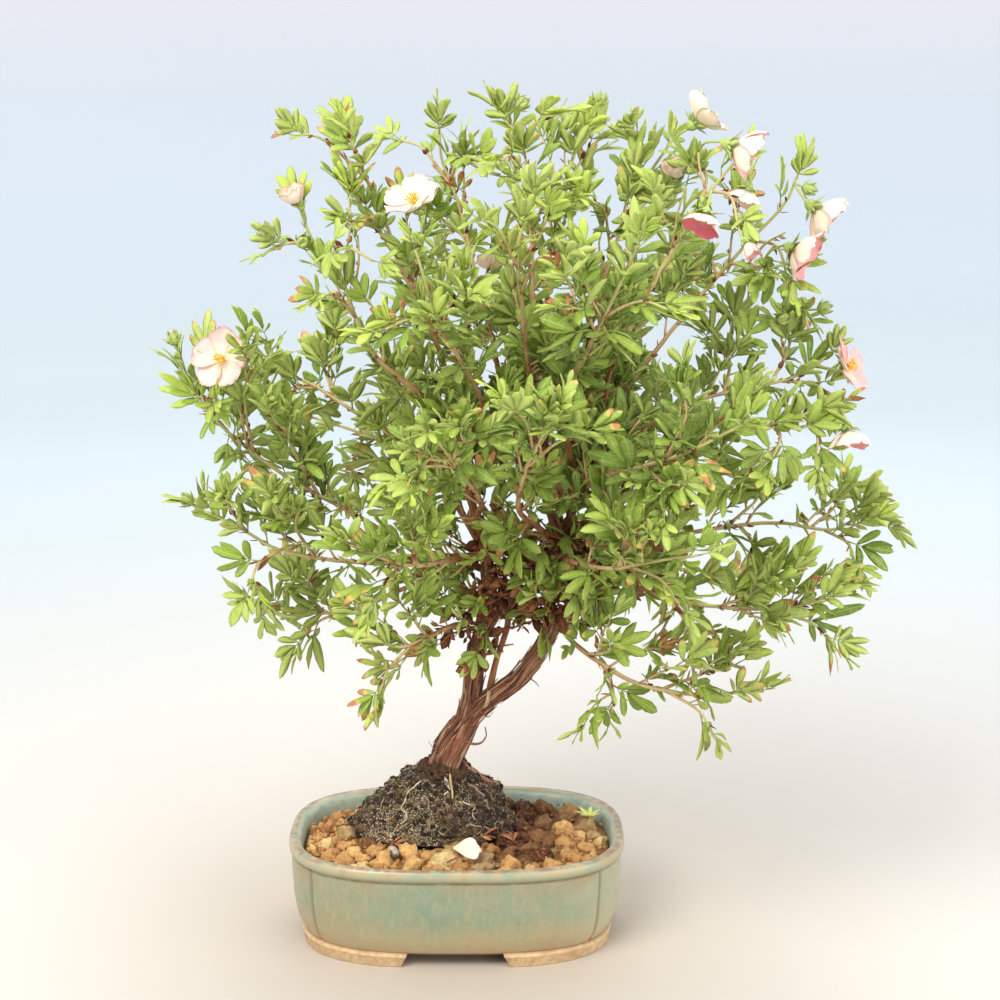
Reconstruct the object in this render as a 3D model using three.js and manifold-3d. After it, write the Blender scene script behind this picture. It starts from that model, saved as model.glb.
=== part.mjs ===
// Shrubby cinquefoil bonsai in its glazed pot. Millimetres, +Z up, the front towards -Y.
import * as THREE from 'three';
import { mergeVertices } from 'three/addons/utils/BufferGeometryUtils.js';
import Module from 'manifold-3d';

const wasm = await Module();
wasm.setup();

// Driving dimensions of the pot
const POT_HALF_LENGTH = 80;
const POT_HALF_DEPTH = 56;
const POT_HEIGHT = 50;
const POT_ROUNDNESS = 2.9;
const POT_SIDES = 28;
const FOOT_HEIGHT = 6;
const FOOT_GAP_FRONT = 25.5;
const FOOT_GAP_SIDE = 15;
const FOOT_SLANT = 3;
const FLOOR_TOP = 10.5;
const WALL = 5.5;
const GROOVE_DEPTH = 1.5;
const GROOVE_PLACES = [3, 11, 17, 25];
const DRAIN_RADIUS = 6;
const DRAIN_SPACING = 70;

// Driving dimensions of what fills the pot
const SEAT_GAP = 0.3;
const SOIL_TOP = 34;
const GRAIN_BED_TOP = 42.5;
const GRAIN_PITCH = 14.2;
const GRAIN_JITTER = 2.4;
const GRAIN_SIZE = 8.4;
const GRAIN_INSET = 15.3;
const MOUND_BASE = [-12, 12];
const MOUND_TOP = [-7, 12];
const MOUND_RADII = [41, 28.5];
const MOUND_SIDES = 13;
// Height above the ground and share of the mound's radius that is left there
const MOUND_PROFILE = [[34, 1], [46, 1], [55, 0.87], [64, 0.68], [71, 0.47], [76, 0.27]];

// Driving dimensions of the plant
const TWIG_SIDES = 4;
const FINE_TWIG_SIDES = 3;
const FINE_TWIG_RADIUS = 1.95;
const SHOOT_SIDES = 3;
const TRUNK_SIDES = 9;
const STEM_SIDES = 7;
const SHOOT_RADII = [1.3, 0.8];
const SIDE_SHOOT_RADII = [0.5, 0.6];
const SHOOT_JOIN_GAP = 0.35;
const STALK_RADIUS = 0.5;
const LEAFLET_ROOM = 2.5;
const LEAF_ATTEMPTS = 9;
const OWN_LEAF_SHARE = 0.85;
const BLOOM_RADIUS = 13;
const PETAL_COUNT = 5;

// A compound leaf: the hubs on its rib, and its leaflets with their angle from the leaf's own axis
const LEAF_LENGTH = 25;
const LEAF_HUBS = [5, 8];
const OUTER_LEAFLET = { angle: 1.2, length: 12.5, half: 2.3, hub: 0 };
const INNER_LEAFLET = { angle: 0.62, length: 15.5, half: 2.5, hub: 1 };
const END_LEAFLET = { angle: 0, length: 17, half: 2.7, hub: 1 };
const LEAF_NOTCHES = { rear: [4.4, 0.9], middle: [6.6, 2.3], front: [11.9, 1.25] };
const WIDEST_SHARE = 0.58;
const HALF_RIB = 0.6;
const STALK_ROOT = -0.9;

// Woody limbs: start and end radius, and the points of the axis
const LIMBS = {
  trunk: [7.2, 6.6, [[-9.5, 15, 64], [-5.5, 12, 80.5], [0, 10, 91.5], [4.5, 8, 103]]],
  left_stem: [4.6, 2.5, [[4, 8, 102], [7, 8, 113], [8.5, 8, 127], [12, 10, 145], [15, 12, 157], [15, 12, 169],
    [14, 11, 181]]],
  right_stem: [5.1, 2.2, [[6, 8, 102], [11.5, 6, 108.5], [19, 4, 115], [29.5, 2, 124], [38, 0, 135.5], [44, 0, 146],
    [49, 0, 155], [60, 0, 162], [66, 2, 173], [70, 5, 183]]],
  middle_stem: [3.4, 2.3, [[13, 10, 145], [23, 12, 158], [35, 11, 165], [44, 10, 173], [50, 8, 186]]],
  slender_stem: [1.6, 1.4, [[15, 5, 113], [19, 8, 131], [24, 11, 146], [24, 12, 158]]],
  left_upright: [2.2, 1.1, [[14, 11, 181], [10, 10, 198], [3, 5, 223], [-1, 0, 248], [-4, -5, 272]]],
  left_fan: [1.5, 1.1, [[3, 5, 223], [-7, -12, 246], [-15, -25, 264]]],
  inner_upright: [2.1, 1.1, [[14, 11, 181], [21, 14, 207], [21, 16, 240], [19, 15, 273]]],
  left_branch: [2.1, 1.2, [[14, 11, 181], [-3, 5, 182], [-17, 2, 186], [-31, 0, 194]]],
  left_low_twig: [1.3, 1.1, [[-17, 2, 186], [-26, -5, 182]]],
  left_lowest_twig: [1.4, 1.1, [[-3, 5, 182], [-15, 12, 169], [-27, 15, 163]]],
  left_back_branch: [1.9, 1.1, [[14, 11, 181], [2, 22, 200], [-12, 22, 220], [-25, 20, 234]]],
  left_back_twig: [1.4, 1.1, [[2, 22, 200], [-3, 40, 211]]],
  centre_upright: [2.2, 1.1, [[50, 8, 186], [42, 8, 209], [37, 6, 237], [36, 5, 266], [36, 5, 289]]],
  centre_back_upright: [1.7, 1.1, [[42, 8, 209], [42, 28, 238], [42, 40, 265], [42, 45, 283]]],
  right_upright: [2.1, 1.1, [[50, 8, 186], [56, 10, 213], [60, 12, 250], [62, 10, 288]]],
  right_fan: [1.6, 1.1, [[56, 10, 213], [66, -5, 244], [70, -20, 274]]],
  right_upper_twig: [1.3, 1.1, [[60, 12, 248], [69, 12, 254], [78, 10, 260]]],
  right_branch: [2, 1.1, [[70, 5, 183], [76, 3, 210], [83, 0, 229], [85, 0, 243]]],
  right_front_twig: [1.4, 1.1, [[76, 3, 210], [81, -10, 222], [84, -20, 233]]],
  right_long_branch: [1.9, 1.2, [[70, 5, 183], [80, 5, 188], [91, 5, 190]]],
  right_low_twig: [1.7, 1.1, [[70, 5, 183], [74, -4, 183], [80, -10, 181]]],
  right_lowest_twig: [1.7, 1.1, [[49, 0, 155], [51, -6, 152], [52, -12, 148]]],
  right_back_twig: [1.7, 1.1, [[70, 5, 183], [70, 22, 196], [69, 40, 216]]],
  right_back_low_twig: [1.6, 1.1, [[70, 5, 183], [70, 18, 176], [69, 30, 170]]],
  upper_back_right_twig: [1.4, 1.1, [[42, 28, 238], [49, 42, 249], [54, 50, 253]]],
  upper_back_left_twig: [1.4, 1.1, [[21, 16, 240], [13, 35, 245], [11, 45, 249]]],
  back_centre_twig: [1.6, 1.1, [[42, 8, 209], [38, 30, 219], [35, 50, 229]]],
  front_centre_twig: [1.8, 1.1, [[50, 8, 186], [39, -15, 200], [29, -40, 215]]],
  front_left_twig: [1.6, 1.1, [[10, 10, 198], [11, -12, 208], [12, -35, 218]]],
  front_upper_left_twig: [1.4, 1.1, [[3, 5, 223], [9, -10, 244], [12, -25, 262]]],
  front_upper_right_twig: [1.6, 1.1, [[56, 10, 213], [51, -12, 241], [47, -30, 262]]],
  front_right_twig: [1.5, 1.1, [[76, 3, 210], [68, -15, 218], [60, -35, 227]]],
  front_low_right_twig: [1.6, 1.1, [[50, 8, 186], [51, -12, 187], [52, -30, 189]]],
  front_low_left_twig: [1.6, 1.1, [[14, 11, 181], [6, -4, 183], [-2, -20, 187]]],
  hanging_twig: [1.6, 1.1, [[13, 10, 145], [7, 2, 148], [0, -5, 152]]],
  crown_front_twig: [1.3, 1.1, [[36, 5, 266], [34, -12, 270], [33, -28, 278]]],
};

// Surface roots that run down the mound from the trunk's base: radius at start and end, and the axis
const ROOTS = [
  [2, 1, [[-4, 9, 79], [-3, 0, 73.5], [-2, -5, 67], [-2, -9, 59]]],
  [2.2, 1.2, [[-7, 12, 78], [-15, 9, 73], [-24, 6, 66]]],
  [2.2, 1.2, [[-1, 13, 78], [7, 13, 73.5], [16, 14, 66]]],
  [2, 1, [[-5, 15, 78], [-8, 23, 73], [-11, 31, 66]]],
];

// Leafy sprays: the limb that carries it, the rest of the main axis, and its side shoots as the share
// of the main axis where each leaves and the point where it ends
const SPRAYS = {
  top_left: ['left_upright', [[-14, -12, 300], [-22, -16, 317], [-32, -20, 346], [-41, -22, 366],
    [-45, -22, 380]],
    [[0.3, [-12, -40, 336]], [0.45, [-42, -45, 342]], [0.72, [-69, -30, 378]]]],
  left_upper: ['left_fan', [[-36, -32, 285], [-50, -34, 321], [-60, -36, 333], [-65, -36, 346]],
    [[0.35, [-56, -60, 310]], [0.55, [-33, -60, 327]], [0.62, [-76, -42, 330]]]],
  top_left_inner: ['inner_upright', [[9, 18, 315], [1, 20, 347], [-6, 20, 365], [-7, 20, 380]],
    [[0.35, [-8, 45, 321]], [0.55, [-25, 30, 373]], [0.6, [11, -5, 364]]]],
  top_centre: ['centre_upright', [[35, 4, 321], [34, 2, 353], [30, 0, 373], [22, -2, 384]],
    [[0.35, [51, -30, 350]], [0.5, [21, -28, 367]], [0.72, [43, -6, 384]]]],
  top_centre_back: ['centre_back_upright', [[45, 55, 320], [52, 60, 353], [61, 60, 378]],
    [[0.4, [35, 85, 341]], [0.55, [72, 72, 373]]]],
  top_right: ['right_upright', [[70, 6, 320], [83, 2, 352], [97, 0, 374]],
    [[0.35, [60, -20, 349]], [0.5, [92, 25, 339]], [0.65, [80, -10, 377]]]],
  right_top: ['right_fan', [[86, -30, 311], [102, -36, 341], [115, -38, 360], [122, -38, 368]],
    [[0.4, [86, -55, 342]], [0.6, [108, -20, 364]], [0.66, [120, -60, 342]]]],
  right_upper: ['right_upper_twig', [[103, 12, 292], [130, 12, 324], [149, 10, 345], [155, 8, 360]],
    [[0.4, [109, 35, 320]], [0.55, [148, -18, 312]], [0.45, [157, -2, 298]]]],
  right_middle: ['right_branch', [[111, -5, 258], [138, -8, 265], [158, -8, 271], [168, -6, 278]],
    [[0.35, [119, 25, 281]], [0.55, [152, 12, 288]], [0.6, [173, 14, 253]]]],
  right_low_middle: ['right_front_twig', [[110, -28, 241], [135, -34, 251], [157, -36, 258], [168, -38, 262]],
    [[0.35, [107, -60, 233]], [0.55, [136, -62, 240]], [0.7, [158, -50, 240]]]],
  right_long: ['right_long_branch', [[110, 0, 195], [129, -4, 199], [149, -6, 201], [172, -8, 198],
    [186, -8, 204], [194, -10, 202]],
    [[0.3, [144, 25, 210]], [0.35, [136, -18, 181]], [0.6, [179, 12, 212]], [0.65, [182, -22, 187]]]],
  lower_right: ['right_low_twig', [[92, -20, 171], [120, -28, 167], [151, -32, 168], [174, -32, 176]],
    [[0.3, [107, -30, 147]], [0.5, [139, -55, 186]], [0.65, [172, -34, 150]]]],
  lowest_right: ['right_lowest_twig', [[64, -20, 140], [84, -26, 130], [111, -30, 126], [138, -34, 129]],
    [[0.2, [70, -42, 152]], [0.3, [72, -26, 116]], [0.6, [129, -12, 139]], [0.62, [118, -32, 107]]]],
  left_long: ['left_branch', [[-49, -4, 206], [-77, -8, 223], [-104, -12, 246], [-115, -16, 262],
    [-120, -18, 274]],
    [[0.3, [-72, -32, 253]], [0.5, [-84, -30, 279]], [0.66, [-104, -42, 264]],
    [0.65, [-98, 12, 228]]]],
  left_middle: ['left_back_branch', [[-50, 28, 248], [-68, 32, 259], [-82, 34, 265], [-89, 34, 280]],
    [[0.35, [-61, 50, 275]], [0.5, [-81, 55, 240]]]],
  left_low: ['left_low_twig', [[-53, -10, 184], [-80, -14, 190], [-98, -16, 201], [-114, -16, 209]],
    [[0.35, [-69, -32, 213]], [0.5, [-93, -24, 175]], [0.7, [-101, -34, 219]]]],
  left_lowest: ['left_lowest_twig', [[-51, 18, 152], [-75, 20, 151], [-95, 20, 156]],
    [[0.4, [-76, 28, 132]], [0.5, [-77, 45, 165]]]],
  hanging_left: ['hanging_twig', [[-14, -14, 148], [-25, -18, 145], [-38, -20, 149]],
    [[0.5, [-35, -24, 124]], [0.3, [-15, -35, 170]]]],
  front_centre: ['front_centre_twig', [[31, -68, 237], [36, -90, 254], [43, -105, 270]],
    [[0.4, [58, -95, 259]], [0.6, [25, -102, 272]]]],
  front_left: ['front_left_twig', [[3, -62, 237], [-2, -85, 250], [-8, -98, 262]],
    [[0.4, [-21, -85, 238]], [0.5, [14, -90, 258]]]],
  front_upper_left: ['front_upper_left_twig', [[1, -50, 288], [-8, -70, 312], [-14, -82, 334]],
    [[0.4, [-27, -80, 301]], [0.5, [10, -85, 314]]]],
  front_upper_right: ['front_upper_right_twig', [[59, -58, 291], [69, -78, 317], [77, -88, 338]],
    [[0.4, [47, -88, 310]], [0.5, [89, -86, 310]]]],
  front_right: ['front_right_twig', [[81, -62, 239], [100, -82, 250], [120, -92, 263]],
    [[0.35, [89, -90, 224]], [0.5, [96, -98, 276]]]],
  front_low_right: ['front_low_right_twig', [[69, -58, 193], [84, -78, 201], [104, -90, 207]],
    [[0.4, [68, -92, 220]], [0.5, [97, -80, 183]]]],
  front_low_left: ['front_low_left_twig', [[-15, -46, 191], [-27, -68, 199], [-43, -80, 209]],
    [[0.4, [-9, -85, 215]], [0.5, [-33, -72, 181]]]],
  back_upper_left: ['upper_back_left_twig', [[-3, 72, 277], [-17, 92, 304], [-29, 102, 328]],
    [[0.4, [-35, 100, 275]], [0.5, [3, 112, 314]]]],
  back_upper_right: ['upper_back_right_twig', [[75, 78, 281], [95, 98, 306], [115, 106, 330]],
    [[0.35, [53, 105, 298]], [0.5, [122, 110, 289]]]],
  back_left: ['left_back_twig', [[-29, 70, 220], [-55, 92, 226], [-79, 100, 232]],
    [[0.35, [-31, 108, 240]], [0.5, [-56, 100, 192]]]],
  back_right: ['right_back_twig', [[95, 75, 219], [122, 98, 225], [148, 106, 236]],
    [[0.35, [97, 110, 248]], [0.5, [134, 108, 195]]]],
  back_low_right: ['right_back_low_twig', [[90, 62, 163], [117, 84, 155], [142, 92, 150]],
    [[0.4, [98, 98, 175]], [0.5, [118, 80, 130]]]],
  back_centre: ['back_centre_twig', [[37, 86, 250], [33, 108, 272], [28, 116, 292]],
    [[0.35, [67, 114, 259]], [0.5, [5, 118, 267]]]],
  crown_front: ['crown_front_twig', [[30, -50, 307], [28, -64, 332], [33, -70, 352]],
    [[0.4, [45, -88, 331]], [0.55, [12, -80, 346]]]],
};

// Blooms: the spray that carries it, its centre, the way it faces, its size, how far it is open from
// 0 (a bud) to 1 (flat), and whether its boss of stamens shows
const BLOOMS = {
  left_open: ['left_long', [-101, -34, 281], [-0.3, -0.8, 0.35], 1, 0.9, true],
  left_half_open: ['left_upper', [-65, -40, 349], [-0.45, -0.2, 0.85], 0.7, 0.3, false],
  top_left_open: ['top_left', [-16, -44, 350], [-0.3, -0.5, 0.75], 0.95, 0.8, true],
  inner_back: ['top_centre_back', [19, 72, 308], [-0.3, 0.3, 0.9], 0.8, 0.45, false],
  crown_right: ['top_right', [107, -2, 382], [0.7, 0.05, 0.6], 1.05, 0.55, false],
  right_high: ['right_top', [118, -46, 374], [0.78, -0.15, -0.3], 1.1, 0.42, true],
  right_high_back: ['right_top', [127, -34, 355], [-0.35, -0.1, -0.85], 0.8, 0.55, false],
  right_inner_bud: ['top_right', [98, -18, 358], [-0.1, -0.3, 0.9], 0.7, 0.3, false],
  right_nodding: ['right_top', [106, -64, 347], [-0.3, -0.35, -0.85], 0.78, 0.55, true],
  right_pink_bud: ['right_top', [122, -70, 336], [0.4, -0.4, -0.6], 0.55, 0.15, false],
  right_side: ['right_upper', [160, -6, 345], [0.65, -0.1, -0.5], 1.1, 0.48, true],
  right_hanging: ['right_upper', [149, -22, 328], [0.75, -0.3, -0.35], 1.05, 0.6, false],
  right_profile: ['right_middle', [177, -10, 274], [0.8, -0.4, 0.42], 1, 0.9, true],
  right_lower_nodding: ['right_low_middle', [172, -44, 252], [0.12, -0.3, -0.9], 0.9, 0.5, false],
};

// Green buds: the spray that carries it and its centre
const BUDS = [
  ['left_long', [-124, -20, 288]], ['left_low', [-121, -17, 214]], ['left_lowest', [-103, 20, 159]],
  ['left_upper', [-79, -44, 338]], ['left_upper', [-64, -40, 333]], ['top_centre', [30, -6, 390]],
  ['top_centre_back', [68, 62, 390]], ['right_upper', [160, 12, 352]], ['right_upper', [147, -12, 296]],
  ['right_upper', [166, -6, 300]], ['right_low_middle', [160, -58, 229]], ['right_top', [106, -52, 350]],
];

// Things that have dropped or sprouted on the grains
const FALLEN_PETAL_PLACE = [5, -33, 48.4];
const DEAD_LEAF_PLACE = [-29, -17, 47.6];
const WEED_PLACE = [64, 14, 44];

// A repeatable draw from 0 to 1 for whole-number keys
function draw(...keys) {
  let h = 0x9e3779b9;
  for (const key of keys) {
    h = Math.imul(h ^ key, 0x85ebca6b);
    h ^= h >>> 13;
    h = Math.imul(h, 0xc2b2ae35);
    h ^= h >>> 16;
  }
  return (h >>> 0) / 4294967296;
}

const vec = (p) => new THREE.Vector3(...p);

// A closed skin over rings of points; the rings turn left seen from the end they run to
function loft(rings) {
  const count = rings[0].length;
  const positions = rings.flat().flatMap((p) => [p.x, p.y, p.z]);
  const faces = [];
  for (let i = 0; i + 1 < rings.length; i += 1) {
    for (let j = 0; j < count; j += 1) {
      const a = i * count + j;
      const b = i * count + ((j + 1) % count);
      faces.push(a, b, b + count, a, b + count, a + count);
    }
  }
  const capWithHub = (first, ring, facesOn) => {
    const hub = positions.length / 3;
    const centre = ring.reduce((sum, p) => sum.add(p), vec([0, 0, 0])).divideScalar(count);
    positions.push(centre.x, centre.y, centre.z);
    for (let j = 0; j < count; j += 1) {
      const a = first + j;
      const b = first + ((j + 1) % count);
      if (facesOn) faces.push(hub, a, b);
      else faces.push(hub, b, a);
    }
  };
  const capPlain = (first, ring, facesOn) => {
    for (let j = 1; j + 1 < count; j += 1) {
      if (facesOn) faces.push(first, first + j, first + j + 1);
      else faces.push(first, first + j + 1, first + j);
    }
  };
  const cap = count > STEM_SIDES ? capWithHub : capPlain;
  cap(0, rings[0], false);
  cap((rings.length - 1) * count, rings[rings.length - 1], true);
  return geometryOf(positions, faces);
}

function geometryOf(positions, faces) {
  const geometry = new THREE.BufferGeometry();
  geometry.setAttribute('position', new THREE.Float32BufferAttribute(positions, 3));
  geometry.setIndex(faces);
  return geometry;
}

function solidOf(geometry) {
  const bare = geometry.clone();
  for (const name of ['normal', 'uv']) bare.deleteAttribute(name);
  const merged = mergeVertices(bare, 1e-4);
  const vertProperties = new Float32Array(merged.attributes.position.array);
  const triVerts = new Uint32Array(merged.index.array);
  return new wasm.Manifold(new wasm.Mesh({ numProp: 3, vertProperties, triVerts }));
}

function joined(solids) {
  return solids.reduce((whole, solid) => whole.add(solid));
}

// The largest body of a solid, without the scraps that a cut leaves
function mainBody(solid) {
  const bodies = solid.decompose();
  return bodies.reduce((largest, body) => (body.volume() > largest.volume() ? body : largest));
}

function geometryFromSolid(solid) {
  const mesh = solid.getMesh();
  return geometryOf(Array.from(mesh.vertProperties), Array.from(mesh.triVerts));
}

// A geometry with copies of itself moved by the seat gap, to cut a loose seat for it
function seatOf(geometry) {
  const moves = [[0, 0, 0], [0, 0, -1], [1, 0, 0], [-1, 0, 0], [0, 1, 0], [0, -1, 0]];
  return joined(moves.map((move) => {
    const [x, y, z] = move.map((value) => value * SEAT_GAP);
    return solidOf(geometry.clone().translate(x, y, z));
  }));
}

// A smooth axis through points
function axisThrough(points) {
  return new THREE.CatmullRomCurve3(points.map(vec), false, 'catmullrom', 0.5);
}

// Rings of a tapered stem along part of an axis, with the section carried along without twist
function stemRings(axis, { from = 0, to = 1, radii, sides, steps, grow = 0 }) {
  const rings = [];
  let side = null;
  for (let i = 0; i <= steps; i += 1) {
    const share = i / steps;
    const t = from + (to - from) * share;
    const tangent = axis.getTangent(t);
    const push = grow * (Number(i === steps) - Number(i === 0));
    const centre = axis.getPoint(t).addScaledVector(tangent, push);
    if (side === null) side = Math.abs(tangent.x) < 0.8 ? vec([1, 0, 0]) : vec([0, 1, 0]);
    side = side.clone().addScaledVector(tangent, -side.dot(tangent)).normalize();
    const up = tangent.clone().cross(side);
    const reach = grow + radii[0] + (radii[1] - radii[0]) * share;
    const ring = [];
    for (let j = 0; j < sides; j += 1) {
      const angle = (2 * Math.PI * j) / sides;
      ring.push(centre.clone()
        .addScaledVector(side, reach * Math.cos(angle))
        .addScaledVector(up, reach * Math.sin(angle)));
    }
    rings.push(ring);
  }
  return rings;
}

function stem(axis, range) {
  return loft(stemRings(axis, range));
}

// One ring of the pot's plan at a height, moved in from the rim's outer edge
function potRing(inset, z, groove = 0) {
  const ring = [];
  const bend = (value) => Math.sign(value) * Math.abs(value) ** (2 / POT_ROUNDNESS);
  for (let j = 0; j < POT_SIDES; j += 1) {
    const angle = (2 * Math.PI * j) / POT_SIDES;
    const cut = inset + (GROOVE_PLACES.includes(j) ? groove : 0);
    const x = (POT_HALF_LENGTH - cut) * bend(Math.cos(angle));
    const y = (POT_HALF_DEPTH - cut) * bend(Math.sin(angle));
    ring.push(new THREE.Vector3(x, y, z));
  }
  return ring;
}

// A bar along Y with a flat outline in X and Z
function barAcross(outline, length) {
  const shape = new THREE.Shape(outline.map(([x, z]) => new THREE.Vector2(x, z)));
  const geometry = new THREE.ExtrudeGeometry(shape, { depth: length, bevelEnabled: false });
  return geometry.translate(0, 0, -length / 2).rotateX(Math.PI / 2);
}

// The opening between two feet, narrower at the top
function footNotch(halfWidth, length) {
  const top = halfWidth - FOOT_SLANT;
  return barAcross([[-halfWidth, -1], [halfWidth, -1], [top, FOOT_HEIGHT], [-top, FOOT_HEIGHT]], length);
}

function makePot() {
  const body = loft([
    potRing(8, FOOT_HEIGHT, GROOVE_DEPTH / 2),
    potRing(3.8, 13, GROOVE_DEPTH),
    potRing(1.6, 26, GROOVE_DEPTH),
    potRing(1.3, 43.4, GROOVE_DEPTH),
    potRing(0.2, 45.2, GROOVE_DEPTH / 2),
    potRing(0, 48, GROOVE_DEPTH / 2),
    potRing(1.8, POT_HEIGHT, GROOVE_DEPTH / 3),
    potRing(WALL + 0.4, 48),
    potRing(WALL + 2, 30),
    potRing(WALL + 8, FLOOR_TOP),
  ]);
  const footBand = solidOf(loft([
    potRing(6.6, 0),
    potRing(6.8, FOOT_HEIGHT + 0.4),
    potRing(11, FOOT_HEIGHT + 1.5),
  ]));
  const hollowUnder = solidOf(loft([potRing(17, -1), potRing(18, FOOT_HEIGHT)]));
  const frontNotch = solidOf(footNotch(FOOT_GAP_FRONT, 3 * POT_HALF_DEPTH));
  const sideNotch = solidOf(footNotch(FOOT_GAP_SIDE, 3 * POT_HALF_LENGTH).rotateZ(Math.PI / 2));
  const feet = footBand.subtract(hollowUnder).subtract(frontNotch).subtract(sideNotch);
  const drains = [-1, 1].map((side) => {
    const drain = new THREE.CylinderGeometry(DRAIN_RADIUS, DRAIN_RADIUS, 3 * FOOT_HEIGHT, 12);
    return solidOf(drain.rotateX(Math.PI / 2).translate((side * DRAIN_SPACING) / 2, 0, FOOT_HEIGHT));
  });
  return solidOf(body).add(feet).subtract(joined(drains));
}

function makeSoil() {
  const gap = 2 * SEAT_GAP;
  return solidOf(loft([
    potRing(WALL + 8 + gap, FLOOR_TOP + SEAT_GAP),
    potRing(WALL + 2 + gap, 30),
    potRing(WALL + 2 + gap, SOIL_TOP),
  ]));
}

// The mound as a lumpy heap; grow moves its skin outwards
function heap(grow) {
  const lowest = MOUND_PROFILE[0][0];
  const highest = MOUND_PROFILE[MOUND_PROFILE.length - 1][0];
  const rings = MOUND_PROFILE.map(([z, share], level) => {
    const lift = (z - lowest) / (highest - lowest);
    const centreX = MOUND_BASE[0] + (MOUND_TOP[0] - MOUND_BASE[0]) * lift;
    const centreY = MOUND_BASE[1] + (MOUND_TOP[1] - MOUND_BASE[1]) * lift;
    const ring = [];
    for (let j = 0; j < MOUND_SIDES; j += 1) {
      const angle = (2 * Math.PI * j) / MOUND_SIDES;
      const lump = share * (1 + 0.12 * (draw(11, level, j) - 0.5));
      const x = centreX + (MOUND_RADII[0] * lump + grow) * Math.cos(angle);
      const y = centreY + (MOUND_RADII[1] * lump + grow) * Math.sin(angle);
      ring.push(new THREE.Vector3(x, y, z));
    }
    return ring;
  });
  rings[0].forEach((point) => { point.z += SEAT_GAP - grow; });
  rings[rings.length - 1].forEach((point) => { point.z += grow; });
  return solidOf(loft(rings));
}

// The mound with a plain hole for the trunk's foot and beds for the surface roots
function makeMound() {
  return mainBody(heap(0).subtract(joined([trunkFoot(SEAT_GAP), ...surfaceRoots(SEAT_GAP)])));
}

function insidePot(x, y, inset) {
  const share = (value, half) => (Math.abs(value) / (half - inset)) ** POT_ROUNDNESS;
  return share(x, POT_HALF_LENGTH) + share(y, POT_HALF_DEPTH) < 1;
}

// One angular grain with slanted faces, sunk about half its height into the bed
function grainAt(x, y, key) {
  const spread = (n) => 1 + 0.35 * (draw(...key, n) - 0.5);
  const size = GRAIN_SIZE + 0.8 * (x / POT_HALF_LENGTH) + 1.4 * draw(...key, 3);
  const grain = new THREE.BoxGeometry(1.15 * size * spread(4), size * spread(5), size * spread(6));
  grain.rotateX(0.5 + 2 * draw(...key, 7)).rotateY(0.4 + draw(...key, 8)).scale(1, 1, 0.8);
  grain.rotateZ(2 * Math.PI * draw(...key, 9));
  return solidOf(grain.translate(x, y, GRAIN_BED_TOP + 0.8 * draw(...key, 10)));
}

// The layer of grains: a bed with rows of jittered grains, larger towards the right
function makeGrains(cuts) {
  const gap = 2 * SEAT_GAP;
  const bed = solidOf(loft([
    potRing(WALL + 2 + gap, SOIL_TOP + SEAT_GAP),
    potRing(WALL + 1.2 + gap, GRAIN_BED_TOP),
  ]));
  const grains = [];
  const rowHeight = GRAIN_PITCH * Math.sqrt(0.75);
  const rows = Math.ceil(POT_HALF_DEPTH / rowHeight);
  const columns = Math.ceil(POT_HALF_LENGTH / GRAIN_PITCH);
  for (let row = -rows; row <= rows; row += 1) {
    for (let column = -columns; column <= columns; column += 1) {
      const key = [21, row + rows, column + columns];
      const shift = row % 2 ? 0.5 : 0;
      const x = (column + shift) * GRAIN_PITCH + GRAIN_JITTER * (draw(...key, 1) - 0.5);
      const y = row * rowHeight + GRAIN_JITTER * (draw(...key, 2) - 0.5);
      const [fromX, fromY] = [(x - MOUND_BASE[0]) / MOUND_RADII[0], (y - MOUND_BASE[1]) / MOUND_RADII[1]];
      const fromMound = Math.hypot(fromX, fromY);
      if (insidePot(x, y, GRAIN_INSET) && fromMound > 0.95) grains.push(grainAt(x, y, key));
    }
  }
  return mainBody(bed.add(joined(grains)).subtract(joined(cuts)));
}

// The spray that grows on from a limb, if there is one
function sprayOn(limb) {
  return Object.values(SPRAYS).find(([carrier]) => carrier === limb);
}

// The axis of a limb together with the leafy shoot that continues it, and the share where wood ends
function shootAxis(limb) {
  const wood = LIMBS[limb][2];
  const spray = sprayOn(limb);
  const points = spray ? [...wood, ...spray[1]] : wood;
  return { axis: axisThrough(points), woodEnd: (wood.length - 1) / (points.length - 1) };
}

function trunkFoot(grow) {
  const [start, end, points] = LIMBS.trunk;
  return solidOf(stem(axisThrough(points), { radii: [start, end], sides: TRUNK_SIDES, steps: 4, grow }));
}

function surfaceRoots(grow) {
  return ROOTS.map(([start, end, points]) => (
    solidOf(stem(axisThrough(points), { radii: [start, end], sides: 5, steps: 3, grow }))
  ));
}

function makeWood() {
  const names = Object.keys(LIMBS).filter((name) => name !== 'trunk');
  const limbs = names.map((name) => {
    const [start, end, points] = LIMBS[name];
    const { axis, woodEnd } = shootAxis(name);
    const thick = start > 3;
    const thinSides = start > FINE_TWIG_RADIUS ? TWIG_SIDES : FINE_TWIG_SIDES;
    const sides = thick ? STEM_SIDES : thinSides;
    const steps = thick ? points.length : points.length - 1;
    return solidOf(stem(axis, { to: woodEnd, radii: [start, end], sides, steps }));
  });
  return joined([trunkFoot(0), ...surfaceRoots(0), ...limbs]);
}

// The point of a shoot at a share of its axis, on the straight pieces between its rings
function shootPoint({ axis, from, to, steps }, t) {
  const place = THREE.MathUtils.clamp(((t - from) / (to - from)) * steps, 0, steps);
  const piece = Math.min(Math.floor(place), steps - 1);
  const [start, end] = [piece, piece + 1].map((i) => axis.getPoint(from + ((to - from) * i) / steps));
  return start.lerp(end, place - piece);
}

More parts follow.
